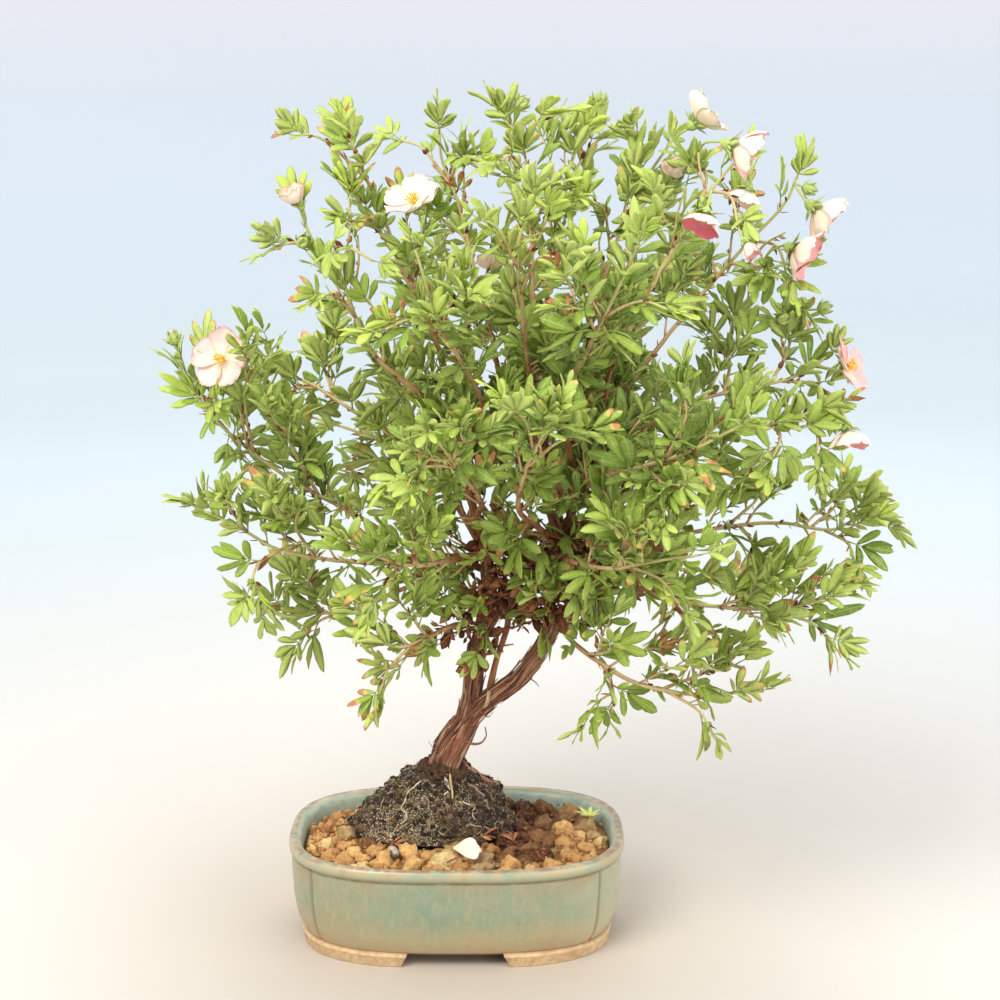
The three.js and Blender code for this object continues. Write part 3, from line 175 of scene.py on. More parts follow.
# Radius at the start and end and the course of each root on the surface, the pale one in front first
ROOTS = [
    [2, 1, [[-4, 9, 79], [-3, 0, 73.5], [-2, -5, 67], [-2, -9, 59]]],
    [2.2, 1.2, [[-7, 12, 78], [-15, 9, 73], [-24, 6, 66]]],
    [2.2, 1.2, [[-1, 13, 78], [7, 13, 73.5], [16, 14, 66]]],
    [2, 1, [[-5, 15, 78], [-8, 23, 73], [-11, 31, 66]]],
]

# Each spray's limb, how its shoot goes on from there, and side shoots by share of the way and tip
SPRAYS = {
    "top_left": ["left_upright", [[-14, -12, 300], [-22, -16, 317], [-32, -20, 346], [-41, -22, 366],
        [-45, -22, 380]], [[0.3, [-12, -40, 336]], [0.45, [-42, -45, 342]], [0.72, [-69, -30, 378]]]],
    "left_upper": ["left_fan", [[-36, -32, 285], [-50, -34, 321], [-60, -36, 333], [-65, -36, 346]],
        [[0.35, [-56, -60, 310]], [0.55, [-33, -60, 327]], [0.62, [-76, -42, 330]]]],
    "top_left_inner": ["inner_upright", [[9, 18, 315], [1, 20, 347], [-6, 20, 365], [-7, 20, 380]],
        [[0.35, [-8, 45, 321]], [0.55, [-25, 30, 373]], [0.6, [11, -5, 364]]]],
    "top_centre": ["centre_upright", [[35, 4, 321], [34, 2, 353], [30, 0, 373], [22, -2, 384]],
        [[0.35, [51, -30, 350]], [0.5, [21, -28, 367]], [0.72, [43, -6, 384]]]],
    "top_centre_back": ["centre_back_upright", [[45, 55, 320], [52, 60, 353], [61, 60, 378]],
        [[0.4, [35, 85, 341]], [0.55, [72, 72, 373]]]],
    "top_right": ["right_upright", [[70, 6, 320], [83, 2, 352], [97, 0, 374]], [[0.35, [60, -20, 349]],
        [0.5, [92, 25, 339]], [0.65, [80, -10, 377]]]],
    "right_top": ["right_fan", [[86, -30, 311], [102, -36, 341], [115, -38, 360], [122, -38, 368]],
        [[0.4, [86, -55, 342]], [0.6, [108, -20, 364]], [0.66, [120, -60, 342]]]],
    "right_upper": ["right_upper_twig", [[103, 12, 292], [130, 12, 324], [149, 10, 345], [155, 8, 360]],
        [[0.4, [109, 35, 320]], [0.55, [148, -18, 312]], [0.45, [157, -2, 298]]]],
    "right_middle": ["right_branch", [[111, -5, 258], [138, -8, 265], [158, -8, 271], [168, -6, 278]],
        [[0.35, [119, 25, 281]], [0.55, [152, 12, 288]], [0.6, [173, 14, 253]]]],
    "right_low_middle": ["right_front_twig", [[110, -28, 241], [135, -34, 251], [157, -36, 258],
        [168, -38, 262]], [[0.35, [107, -60, 233]], [0.55, [136, -62, 240]], [0.7, [158, -50, 240]]]],
    "right_long": ["right_long_branch", [[110, 0, 195], [129, -4, 199], [149, -6, 201], [172, -8, 198],
        [186, -8, 204], [194, -10, 202]], [[0.3, [144, 25, 210]], [0.35, [136, -18, 181]],
        [0.6, [179, 12, 212]], [0.65, [182, -22, 187]]]],
    "lower_right": ["right_low_twig", [[92, -20, 171], [120, -28, 167], [151, -32, 168], [174, -32, 176]],
        [[0.3, [107, -30, 147]], [0.5, [139, -55, 186]], [0.65, [172, -34, 150]]]],
    "lowest_right": ["right_lowest_twig", [[64, -20, 140], [84, -26, 130], [111, -30, 126],
        [138, -34, 129]], [[0.2, [70, -42, 152]], [0.3, [72, -26, 116]], [0.6, [129, -12, 139]],
        [0.62, [118, -32, 107]]]],
    "left_long": ["left_branch", [[-49, -4, 206], [-77, -8, 223], [-104, -12, 246], [-115, -16, 262],
        [-120, -18, 274]], [[0.3, [-72, -32, 253]], [0.5, [-84, -30, 279]], [0.66, [-104, -42, 264]],
        [0.65, [-98, 12, 228]]]],
    "left_middle": ["left_back_branch", [[-50, 28, 248], [-68, 32, 259], [-82, 34, 265], [-89, 34, 280]],
        [[0.35, [-61, 50, 275]], [0.5, [-81, 55, 240]]]],
    "left_low": ["left_low_twig", [[-53, -10, 184], [-80, -14, 190], [-98, -16, 201], [-114, -16, 209]],
        [[0.35, [-69, -32, 213]], [0.5, [-93, -24, 175]], [0.7, [-101, -34, 219]]]],
    "left_lowest": ["left_lowest_twig", [[-51, 18, 152], [-75, 20, 151], [-95, 20, 156]],
        [[0.4, [-76, 28, 132]], [0.5, [-77, 45, 165]]]],
    "hanging_left": ["hanging_twig", [[-14, -14, 148], [-25, -18, 145], [-38, -20, 149]],
        [[0.5, [-35, -24, 124]], [0.3, [-15, -35, 170]]]],
    "front_centre": ["front_centre_twig", [[31, -68, 237], [36, -90, 254], [43, -105, 270]],
        [[0.4, [58, -95, 259]], [0.6, [25, -102, 272]]]],
    "front_left": ["front_left_twig", [[3, -62, 237], [-2, -85, 250], [-8, -98, 262]],
        [[0.4, [-21, -85, 238]], [0.5, [14, -90, 258]]]],
    "front_upper_left": ["front_upper_left_twig", [[1, -50, 288], [-8, -70, 312], [-14, -82, 334]],
        [[0.4, [-27, -80, 301]], [0.5, [10, -85, 314]]]],
    "front_upper_right": ["front_upper_right_twig", [[59, -58, 291], [69, -78, 317], [77, -88, 338]],
        [[0.4, [47, -88, 310]], [0.5, [89, -86, 310]]]],
    "front_right": ["front_right_twig", [[81, -62, 239], [100, -82, 250], [120, -92, 263]],
        [[0.35, [89, -90, 224]], [0.5, [96, -98, 276]]]],
    "front_low_right": ["front_low_right_twig", [[69, -58, 193], [84, -78, 201], [104, -90, 207]],
        [[0.4, [68, -92, 220]], [0.5, [97, -80, 183]]]],
    "front_low_left": ["front_low_left_twig", [[-15, -46, 191], [-27, -68, 199], [-43, -80, 209]],
        [[0.4, [-9, -85, 215]], [0.5, [-33, -72, 181]]]],
    "back_upper_left": ["upper_back_left_twig", [[-3, 72, 277], [-17, 92, 304], [-29, 102, 328]],
        [[0.4, [-35, 100, 275]], [0.5, [3, 112, 314]]]],
    "back_upper_right": ["upper_back_right_twig", [[75, 78, 281], [95, 98, 306], [115, 106, 330]],
        [[0.35, [53, 105, 298]], [0.5, [122, 110, 289]]]],
    "back_left": ["left_back_twig", [[-29, 70, 220], [-55, 92, 226], [-79, 100, 232]],
        [[0.35, [-31, 108, 240]], [0.5, [-56, 100, 192]]]],
    "back_right": ["right_back_twig", [[95, 75, 219], [122, 98, 225], [148, 106, 236]],
        [[0.35, [97, 110, 248]], [0.5, [134, 108, 195]]]],
    "back_low_right": ["right_back_low_twig", [[90, 62, 163], [117, 84, 155], [142, 92, 150]],
        [[0.4, [98, 98, 175]], [0.5, [118, 80, 130]]]],
    "back_centre": ["back_centre_twig", [[37, 86, 250], [33, 108, 272], [28, 116, 292]],
        [[0.35, [67, 114, 259]], [0.5, [5, 118, 267]]]],
    "crown_front": ["crown_front_twig", [[30, -50, 307], [28, -64, 332], [33, -70, 352]],
        [[0.4, [45, -88, 331]], [0.55, [12, -80, 346]]]],
}

# Each bloom's spray, place, facing, size, openness, and whether its stamens show
BLOOMS = {
    "left_open": ["left_long", [-101, -34, 281], [-0.3, -0.8, 0.35], 1, 0.9, True],
    "left_half_open": ["left_upper", [-65, -40, 349], [-0.45, -0.2, 0.85], 0.7, 0.3, False],
    "top_left_open": ["top_left", [-16, -44, 350], [-0.3, -0.5, 0.75], 0.95, 0.8, True],
    "inner_back": ["top_centre_back", [19, 72, 308], [-0.3, 0.3, 0.9], 0.8, 0.45, False],
    "crown_right": ["top_right", [107, -2, 382], [0.7, 0.05, 0.6], 1.05, 0.55, False],
    "right_high": ["right_top", [118, -46, 374], [0.78, -0.15, -0.3], 1.1, 0.42, True],
    "right_high_back": ["right_top", [127, -34, 355], [-0.35, -0.1, -0.85], 0.8, 0.55, False],
    "right_inner_bud": ["top_right", [98, -18, 358], [-0.1, -0.3, 0.9], 0.7, 0.3, False],
    "right_nodding": ["right_top", [106, -64, 347], [-0.3, -0.35, -0.85], 0.78, 0.55, True],
    "right_pink_bud": ["right_top", [122, -70, 336], [0.4, -0.4, -0.6], 0.55, 0.15, False],
    "right_side": ["right_upper", [160, -6, 345], [0.65, -0.1, -0.5], 1.1, 0.48, True],
    "right_hanging": ["right_upper", [149, -22, 328], [0.75, -0.3, -0.35], 1.05, 0.6, False],
    "right_profile": ["right_middle", [177, -10, 274], [0.8, -0.4, 0.42], 1, 0.9, True],
    "right_lower_nodding": ["right_low_middle", [172, -44, 252], [0.12, -0.3, -0.9], 0.9, 0.5, False],
}

# The green buds: spray and place
BUDS = [
    ["left_long", [-124, -20, 288]], ["left_low", [-121, -17, 214]], ["left_lowest", [-103, 20, 159]],
    ["left_upper", [-79, -44, 338]], ["left_upper", [-64, -40, 333]], ["top_centre", [30, -6, 390]],
    ["top_centre_back", [68, 62, 390]], ["right_upper", [160, 12, 352]], ["right_upper", [147, -12, 296]],
    ["right_upper", [166, -6, 300]], ["right_low_middle", [160, -58, 229]],
    ["right_top", [106, -52, 350]],
]

# How pink the inner and outer face of each bloom's petals is, from cream at 0 to rose at 1
BLOOM_PINKNESS = {
    "left_open": (0.5, 0.4), "left_half_open": (0.3, 0.25), "top_left_open": (0.2, 0.15),
    "inner_back": (0.4, 0.3), "crown_right": (0.05, 0.0), "right_high": (0.6, 0.22),
    "right_high_back": (0.2, 0.02), "right_inner_bud": (0.3, 0.2), "right_nodding": (1.0, 0.25),
    "right_pink_bud": (0.5, 0.35), "right_side": (0.35, 0.08), "right_hanging": (0.75, 0.25),
    "right_profile": (0.6, 0.5), "right_lower_nodding": (0.75, 0.22),
}

# How wide the room is that leaves keep free in front of a bloom, as a share of its own radius
BLOOM_ROOM = {"left_open": 0.42, "top_left_open": 0.5, "inner_back": 0.4, "left_half_open": 0.5}
PETAL_COUNT = 5
BLOOM_RADIUS = 13

# The crown's middle and how far it reaches
CROWN_CENTRE = np.array([36.0, 0.0, 225.0])
CROWN_REACH = np.array([130.0, 95.0, 125.0])
# Spots of the front view, by x and z, with their reach: where leaves are few, many, dry with painted light on
# their tone, and painted darker as shade
THIN_SPOTS = [((91, 144), (22, 15)), ((-41, 330), (20, 20)), ((-8, 150), (18, 15))]
FULL_SPOTS = [((-42, 203), (36, 42)), ((94, 284), (34, 34))]
DRY_AND_PAINTED_LIGHT_SPOT = ((38, 183), (46, 42))
SHADY_SPOT = ((91, 276), (42, 48))
# The stems in the thicket, with the height from which they carry its twigs and how many
THICKET = [("left_stem", 143, 20), ("middle_stem", 145, 46), ("right_stem", 156, 22)]

# Leaflets of leaves with three, five and seven: distance of the foot, angle, length and half width
LEAFLETS = {
    3: [(5.2, 0.55, 11.5, 2.0), (5.2, -0.55, 11.5, 2.0), (5.8, 0, 13.5, 2.25)],
    5: [(5.0, 0.95, 12.0, 2.0), (5.0, -0.95, 12.0, 2.0), (7.2, 0.45, 14.8, 2.25), (7.2, -0.45, 14.8, 2.25),
        (7.8, 0, 16.2, 2.45)],
    7: [(4.2, 1.15, 9.0, 1.6), (4.2, -1.15, 9.0, 1.6), (6.2, 0.78, 12.5, 2.0), (6.2, -0.78, 12.5, 2.0),
        (7.8, 0.38, 14.8, 2.25), (7.8, -0.38, 14.8, 2.25), (8.4, 0, 16.0, 2.45)],
}
# The rows of a leaflet along its length, how wide they are, and the places across them
LEAF_ROWS = np.array([0.15, 0.4, 0.68, 0.91])
LEAF_WIDTHS = np.array([0.38, 0.82, 1.0, 0.66])
LEAF_COLUMNS = np.array([-1, -0.52, 0, 0.52, 1])
LEAFLET_POINTS = 26
# The turn round a shoot from one leaf to the next
NEXT_LEAF = 2.4
# A leaf stalk's radius at its foot, middle and end
STALK_RADII = np.array([0.5, 0.36, 0.26])

# A broad petal's width at some shares of its length
PETAL_SHARES = [0, 0.08, 0.2, 0.38, 0.56, 0.72, 0.85, 0.94, 1]
PETAL_WIDTHS = [0.13, 0.17, 0.4, 0.74, 0.94, 1.0, 0.9, 0.66, 0.34]
PETAL_ROWS = 11
PETAL_COLUMNS = 9

# Calyx and bud by height and radius
CUP_RINGS = [(-4.6, 0.5), (-3.8, 1.3), (-2.7, 2.3), (-1.6, 2.6), (-0.4, 2.2), (0.2, 0.8)]
BUD_RINGS = [(-3.1, 0.5), (-2.6, 1.7), (-1.3, 2.7), (0.1, 3.0), (1.4, 2.5), (2.5, 1.4), (3.1, 0.3)]
SEPAL_COUNT = 10
# A scale's section by share of its half width and lift; the lowest point is on its back
SCALE_SECTION = [(-1, 0.16), (0, 0), (1, 0.16), (0, -1)]

# Limbs with peeling strips of bark: number, greatest length and greatest width
PEELING = [
    ("trunk", 50, 17, 2.4), ("left_stem", 130, 22, 2.0), ("right_stem", 150, 24, 2.1),
    ("middle_stem", 46, 16, 1.3),
]
STRIP_STEPS = 10
# Strips that stand out in the photo: course and radius
LOOSE_STRIPS = [
    ([(2.5, 4, 93), (7, 1, 91.3), (11.5, 0, 92), (14, 0, 95.5), (13.5, 0, 100)], 1.35),
    ([(-8, 6, 84), (-11, 3, 88), (-13.5, 1, 92.5)], 0.45),
    ([(11, 0, 108), (15, -3, 106), (17.5, -3, 109)], 0.7),
    ([(33, -3, 126), (37, -5, 124), (39, -5, 121.5)], 0.6),
]
STUB = [(13, 1, 109), (14.5, -2.5, 113), (15.5, -3, 119)]
# Swellings where branches part: place and size
BURRS = [((12, 9, 143), 4.0), ((14.5, 10.5, 180), 3.2), ((49, 6, 185), 2.8)]

# Things that have dropped or sprouted on the grains; a dead leaf's last number is its turn
FALLEN_PETAL_PLACE = (5, -33, 48.4)
DEAD_LEAF_PLACES = [(-29, -17, 47.6, -0.6), (13, -11, 49.2, 0.5), (26, -14, 48.4, 2.2), (56, -12, 48.6, 1.1)]
WEED_PLACE = (64, 14, 44)
GRAVEL_PLACE = (-29, -26, 47.6)
DROPPED_TWIG = [(-4, -38, 47.5), (3, -33, 48.6), (9, -29, 48.6), (14, -24, 48.4)]
WEED_LEAVES = 7

# The stage by distance from the middle and height
STAGE_PROFILE = [
    (0, 0), (700, 0), (1400, 0), (1700, 20), (1950, 90), (2130, 230), (2240, 450), (2290, 720), (2300, 1050),
]
STAGE_SIDES = 96
# The lights: name, place, target, size in metres, power in watts and colour
LIGHTS = [
    ("key", (-600, -900, 1300), (20, 0, 180), 0.8, 24, (1.0, 0.97, 0.93)),
    ("fill", (1000, -800, 600), (20, 0, 180), 1.2, 9.7, (1.0, 0.99, 0.98)),
    ("back", (200, 700, 1300), (20, 0, 250), 1.0, 9, (1.0, 0.98, 0.95)),
]
SKY_STRENGTH = 0.92

# A point's marks are tone, across, along and age, from which each look reads what it needs
NO_MARKS = (0, 0, 0, 0)
MIDDLE_TONE = (0.5, 0, 0, 0)
# A full turn as the draws of angles round it, and the grain's shift from one tube of a batch to the next
ROUND_TURN = 6.28
GRAIN_SHIFT = 37.0

# Seeds of the random draws
MOUND_SEED = 51
GRAINS_SEED = 61
WOOD_SEED = 81
LITTER_SEED = 91
BLOOM_SEED = 100
SPRAY_SEED = 300
THICKET_SEED = 401


def draw(*keys):
    """A repeatable draw from 0 to 1 for whole-number keys."""
    h = 0x9E3779B9
    for key in keys:
        h = ((h ^ key) * 0x85EBCA6B) & 0xFFFFFFFF
        h ^= h >> 13
        h = (h * 0xC2B2AE35) & 0xFFFFFFFF
        h ^= h >> 16
    return h / 4294967296


def unit(vectors):
    """The same directions with length 1."""
    return vectors / np.maximum(np.linalg.norm(vectors, axis=-1, keepdims=True), 1e-9)


def lattice(cells, seed):
    """Repeatable values from -1 to 1 for whole-number cells."""
    h = cells[..., 0] * 73856093 ^ cells[..., 1] * 19349663 ^ cells[..., 2] * 83492791 ^ seed * 40503
    h = ((h & 0xFFFFFFFF) ^ ((h & 0xFFFFFFFF) >> 15)) * 2246822519 & 0xFFFFFFFF
    h = (h ^ (h >> 13)) * 3266489917 & 0xFFFFFFFF
    return (h ^ (h >> 16)) / 2147483648 - 1


def noise(points, seed=0):
    """Smooth noise from -1 to 1 with lumps one unit wide."""
    points = np.asarray(points, float)
    cells = np.floor(points).astype(np.int64)
    f = points - cells
    f = f * f * (3 - 2 * f)
    total = 0
    for corner in np.ndindex(2, 2, 2):
        weight = np.prod(np.where(corner, f, 1 - f), axis=-1)
        total = total + weight * lattice(cells + np.array(corner), seed)
    return total


def rough(points, octaves, seed=0):
    """Noise in several octaves, each half as strong and twice as fine as the one before."""
    return sum(0.5 ** n * noise(np.asarray(points) * 2 ** n, seed + n) for n in range(octaves))


def wander(path, scale, first_seed):
    """Three values of noise at each point of a path, for shifting it."""
    return np.stack([noise(path / scale, first_seed + axis) for axis in range(3)], axis=-1)


def around(count):
    """Evenly spaced angles of a full circle."""
    return 2 * np.pi * np.arange(count) / count


def on_circle(angle, radius=1.0, z=0.0):
    """Places around the Z axis."""
    return np.stack(np.broadcast_arrays(radius * np.cos(angle), radius * np.sin(angle), z), axis=-1)


def marks_for(tone, across=0, along=0, age=0):
    """Marks of points, from numbers or arrays."""
    return np.stack(np.broadcast_arrays(tone, across, along, age), axis=-1)


def curve(points, shares):
    """Places on a smooth curve through points, for shares from 0 to 1."""
    p = np.asarray(points, float)
    padded = np.vstack([2 * p[0] - p[1], p, 2 * p[-1] - p[-2]])
    place = np.clip(np.asarray(shares, float), 0, 1) * (len(p) - 1)
    i = np.minimum(place.astype(int), len(p) - 2)
    w = (place - i)[..., None]
    a, b, c, d = padded[i], padded[i + 1], padded[i + 2], padded[i + 3]
    bend = (2 * a - 5 * b + 4 * c - d) * w ** 2 + (3 * b - a - 3 * c + d) * w ** 3
    return 0.5 * (2 * b + (c - a) * w + bend)


def swept(points, count):
    """Places on a smooth curve through points."""
    return curve(points, np.linspace(0, 1, count))


def lengths_along(paths):
    """The length run at each point of a path, or of every path in a batch."""
    steps = np.linalg.norm(np.diff(paths, axis=-2), axis=-1)
    return np.concatenate([np.zeros_like(steps[..., :1]), np.cumsum(steps, axis=-1)], axis=-1)


def at_lengths(path, places):
    """Points of a path after some lengths along it."""
    along = lengths_along(path)
    return np.stack([np.interp(places, along, path[:, axis]) for axis in range(3)], axis=-1)


def evenly(path, step):
    """The same path with points about one step apart."""
    total = lengths_along(path)[-1]
    return at_lengths(path, np.linspace(0, total, max(2, int(round(total / step))) + 1))


def tint(red, green, blue):
    """A colour as it looks on a screen, as the renderer wants it."""
    def linear(value):
        value /= 255
        return value / 12.92 if value <= 0.04045 else ((value + 0.055) / 1.055) ** 2.4
    return (linear(red), linear(green), linear(blue), 1)


class Skin:
    """The points, faces and marks of one piece as they are gathered."""

    def __init__(self):
        self.count = 0
        self.points, self.marks, self.grain, self.faces, self.looks = [], [], [], [], []

    def add(self, points, blocks, marks, grain=None):
        """Points with their marks, and blocks of faces that each name the number of their look."""
        points = np.asarray(points, float).reshape(-1, 3)
        marks = np.asarray(marks, float).reshape(-1, 4)
        self.points.append(points)
        self.marks.append(np.broadcast_to(marks, (len(points), 4)))
        self.grain.append(points if grain is None else np.asarray(grain, float).reshape(-1, 3))
        for faces, look in blocks:
            self.faces.extend((np.asarray(faces) + self.count).tolist())
            self.looks.extend([look] * len(faces))
        self.count += len(points)

    def piece(self, name, looks, slot, *replaced):
        """One smooth mesh object with its marks and looks, tied to the frame."""
        mesh = bpy.data.meshes.new(name)
        mesh.from_pydata((np.vstack(self.points) * MM + ORIGIN).tolist(), [], self.faces)
        marks = mesh.attributes.new("marks", "FLOAT_COLOR", "POINT")
        marks.data.foreach_set("color", np.vstack(self.marks).ravel())
        grain = mesh.attributes.new("grain", "FLOAT_VECTOR", "POINT")
        grain.data.foreach_set("vector", np.vstack(self.grain).ravel())
        for look in looks:
            mesh.materials.append(look)
        mesh.polygons.foreach_set("material_index", self.looks)
        mesh.polygons.foreach_set("use_smooth", [True] * len(mesh.polygons))
        mesh.update()
        made = linked(name, mesh)
        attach(made, "root")
        if replaced:
            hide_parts(*replaced)


def linked(name, data):
    """A new object of the scene that holds this data."""
    made = bpy.data.objects.new(name, data)
    bpy.context.scene.collection.objects.link(made)
    return made


def grid_faces(rows, columns, closed):
    """Quads over a grid of points; closed joins the last column to the first."""
    i, j = np.meshgrid(np.arange(rows - 1), np.arange(columns if closed else columns - 1), indexing="ij")
    after = (j + 1) % columns
    corners = [i * columns + j, i * columns + after, (i + 1) * columns + after, (i + 1) * columns + j]
    return np.stack(corners, axis=-1).reshape(-1, 4)


def solid_faces(rows, sides, look, count=1, turned=False):
    """Walls and both ends for a batch of closed grids of points; turned swaps inside and outside."""
    base = (np.arange(count) * rows * sides)[:, None, None]
    walls = (grid_faces(rows, sides, True)[None] + base).reshape(-1, 4)
    low = np.arange(sides)[::-1][None] + base[:, 0]
    high = np.arange(sides)[None] + (rows - 1) * sides + base[:, 0]
    return [(part[:, ::-1] if turned else part, look) for part in (walls, low, high)]


def frames_along(paths):
    """Tangents and two cross directions, carried along without twist, for a batch of paths."""
    tangents = unit(np.gradient(paths, axis=1))
    first = tangents[:, 0]
    reference = np.where(np.abs(first[:, 2:]) < 0.8, [[0, 0, 1.0]], [[1.0, 0, 0]])
    side = unit(np.cross(first, reference))
    sides = []
    for k in range(paths.shape[1]):
        tangent = tangents[:, k]
        side = unit(side - np.sum(side * tangent, axis=-1, keepdims=True) * tangent)
        sides.append(side)
    sides = np.stack(sides, axis=1)
    return tangents, sides, np.cross(tangents, sides)


def add_tubes(skin, paths, radii, sides, marks=MIDDLE_TONE, look=0, flat=1.0):
    """Closed tubes along a batch of paths with the same number of points."""
    paths = np.asarray(paths, float)
    count, steps = paths.shape[:2]
    radii = np.broadcast_to(np.asarray(radii, float), (count, steps))[..., None]
    tangents, side, up = frames_along(paths)
    angle = around(sides)
    ring = np.cos(angle)[:, None] * side[:, :, None] + flat * np.sin(angle)[:, None] * up[:, :, None]
    points = paths[:, :, None] + radii[..., None] * ring
    shift = GRAIN_SHIFT * np.arange(count)[:, None, None]
    grain = on_circle(angle, radii, lengths_along(paths)[..., None])
    grain[..., 0] += shift
    marks = np.asarray(marks, float)
    if marks.ndim == 2 and len(marks) == count:
        marks = np.repeat(marks, steps * sides, axis=0)
    skin.add(points, solid_faces(steps, sides, look, count), marks, grain)


def add_tube(skin, path, radii, sides, marks=MIDDLE_TONE, look=0, flat=1.0):
    """One closed tube."""
    add_tubes(skin, path[None], radii[None], sides, marks, look, flat)


def ball(detail):
    """Points and triangles of a unit ball."""
    shape = bmesh.new()
    bmesh.ops.create_icosphere(shape, subdivisions=detail, radius=1)
    points = np.array([vert.co[:] for vert in shape.verts])
    faces = np.array([[vert.index for vert in face.verts] for face in shape.faces])
    shape.free()
    return points, faces


BALLS = {detail: ball(detail) for detail in (1, 2, 3)}


def turns(angles):
    """Rotation matrices from three angles each."""
    cx, cy, cz = np.cos(angles).T
    sx, sy, sz = np.sin(angles).T
    zero, one = np.zeros_like(cx), np.ones_like(cx)
    about_x = np.stack([one, zero, zero, zero, cx, -sx, zero, sx, cx], axis=-1).reshape(-1, 3, 3)
    about_y = np.stack([cy, zero, sy, zero, one, zero, -sy, zero, cy], axis=-1).reshape(-1, 3, 3)
    about_z = np.stack([cz, -sz, zero, sz, cz, zero, zero, zero, one], axis=-1).reshape(-1, 3, 3)
    return about_z @ about_y @ about_x


def add_lumps(skin, places, sizes, detail, rng, marks, facets=7, squash=0.85, look=0, bumps=0.1):
    """Angular lumps: balls with flattened faces and an uneven skin."""
    points, faces = BALLS[detail]
    count = len(places)
    shape = np.repeat(points[None], count, axis=0)
    for facet in range(facets):
        normal = unit(rng.normal(size=(count, 1, 3)))
        depth = rng.uniform(0.58, 0.9, (count, 1))
        over = np.maximum(0, np.sum(shape * normal, axis=-1) - depth)
        shape = shape - over[..., None] * normal
    offset = rng.uniform(-50, 50, (count, 1, 3))
    shape = shape * (1 + bumps * rough(shape * 2.3 + offset, 3))[..., None]
    stretch = np.stack([rng.uniform(0.85, 1.2, count), rng.uniform(0.8, 1.1, count),
                        rng.uniform(0.75, 1.0, count)], axis=-1)
    turned = np.swapaxes(turns(rng.uniform(0, ROUND_TURN, (count, 3))), 1, 2)
    shape = shape * stretch[:, None] @ turned
    shape[..., 2] *= squash
    placed = np.asarray(places)[:, None] + shape * np.asarray(sizes)[:, None, None]
    all_faces = (faces[None] + (np.arange(count) * len(points))[:, None, None]).reshape(-1, 3)
    marks = np.broadcast_to(np.asarray(marks, float), (count, 4))
    skin.add(placed, [(all_faces, look)], np.repeat(marks, len(points), axis=0), placed + offset)


class Look:
    """A procedural material as it is wired."""

    def __init__(self, name, roughness=0.6, **sockets):
        self.material = bpy.data.materials.new(name)
        self.material.use_nodes = True
        self.tree = self.material.node_tree
        self.shader = self.tree.nodes["Principled BSDF"]
        self.shader.inputs["Roughness"].default_value = roughness
        for socket, value in sockets.items():
            self.shader.inputs[socket.replace("_", " ")].default_value = value
        self.grain = self.attribute("grain").outputs["Vector"]
        split = self.node("ShaderNodeSeparateColor")
        marks = self.attribute("marks")
        self.tree.links.new(marks.outputs["Color"], split.inputs[0])
        self.tone, self.across, self.along = split.outputs
        self.age = marks.outputs["Alpha"]

    def node(self, kind, **settings):
        made = self.tree.nodes.new(kind)
        for setting, value in settings.items():
            setattr(made, setting, value)
        return made

    def attribute(self, name):
        return self.node("ShaderNodeAttribute", attribute_name=name)

    def put(self, socket, value):
        if isinstance(value, bpy.types.NodeSocket):
            self.tree.links.new(value, socket)
        else:
            socket.default_value = value

    def stretched(self, x, y, z):
        made = self.node("ShaderNodeVectorMath", operation="MULTIPLY")
        self.put(made.inputs[0], self.grain)
        made.inputs[1].default_value = (x, y, z)
        return made.outputs[0]

    def noise(self, scale, detail=3.0, vector=None, distortion=0.0, roughness=0.55):
        made = self.node("ShaderNodeTexNoise")
        self.put(made.inputs["Vector"], self.grain if vector is None else vector)
        made.inputs["Scale"].default_value = scale
        made.inputs["Detail"].default_value = detail
        made.inputs["Distortion"].default_value = distortion
        made.inputs["Roughness"].default_value = roughness
        return made.outputs[0]

    def spots(self, scale):
        made = self.node("ShaderNodeTexVoronoi")
        self.put(made.inputs["Vector"], self.grain)
        made.inputs["Scale"].default_value = scale
        return made.outputs["Distance"]

    def axis(self, name):
        split = self.node("ShaderNodeSeparateXYZ")
        self.put(split.inputs[0], self.grain)
        return split.outputs[name]

    def calc(self, operation, a, b):
        made = self.node("ShaderNodeMath", operation=operation)
        self.put(made.inputs[0], a)
        self.put(made.inputs[1], b)
        return made.outputs[0]

    def times(self, a, b):
        return self.calc("MULTIPLY", a, b)

    def plus(self, a, b):
        return self.calc("ADD", a, b)

    def fit(self, value, low, high, start=0.0, end=1.0):
        made = self.node("ShaderNodeMapRange")
        self.put(made.inputs["Value"], value)
        made.inputs["From Min"].default_value = low
        made.inputs["From Max"].default_value = high
        made.inputs["To Min"].default_value = start
        made.inputs["To Max"].default_value = end
        return made.outputs[0]

    def ramp(self, value, *stops):
        made = self.node("ShaderNodeValToRGB")
        self.put(made.inputs[0], value)
        elements = made.color_ramp.elements
        while len(elements) < len(stops):
            elements.new(0.5)
        for element, (place, colour) in zip(elements, stops):
            element.position = place
            element.color = tint(*colour)
        return made.outputs[0]

    def mix(self, share, a, b):
        made = self.node("ShaderNodeMix", data_type="RGBA")
        self.put(made.inputs[0], share)
        self.put(made.inputs[6], a if isinstance(a, bpy.types.NodeSocket) else tint(*a))
        self.put(made.inputs[7], b if isinstance(b, bpy.types.NodeSocket) else tint(*b))
        return made.outputs[2]

    def bump(self, height, depth, strength=1.0):
        """Relief with a depth in millimetres, on top of what was there before."""
        made = self.node("ShaderNodeBump")
        made.inputs["Strength"].default_value = strength
        made.inputs["Distance"].default_value = depth * MM
        self.put(made.inputs["Height"], height)
        if self.shader.inputs["Normal"].links:
            self.put(made.inputs["Normal"], self.shader.inputs["Normal"].links[0].from_socket)
        self.put(self.shader.inputs["Normal"], made.outputs[0])

    def done(self, colour, roughness=None):
        self.put(self.shader.inputs["Base Color"], colour)
        if roughness is not None:
            self.put(self.shader.inputs["Roughness"], roughness)
        return self.material


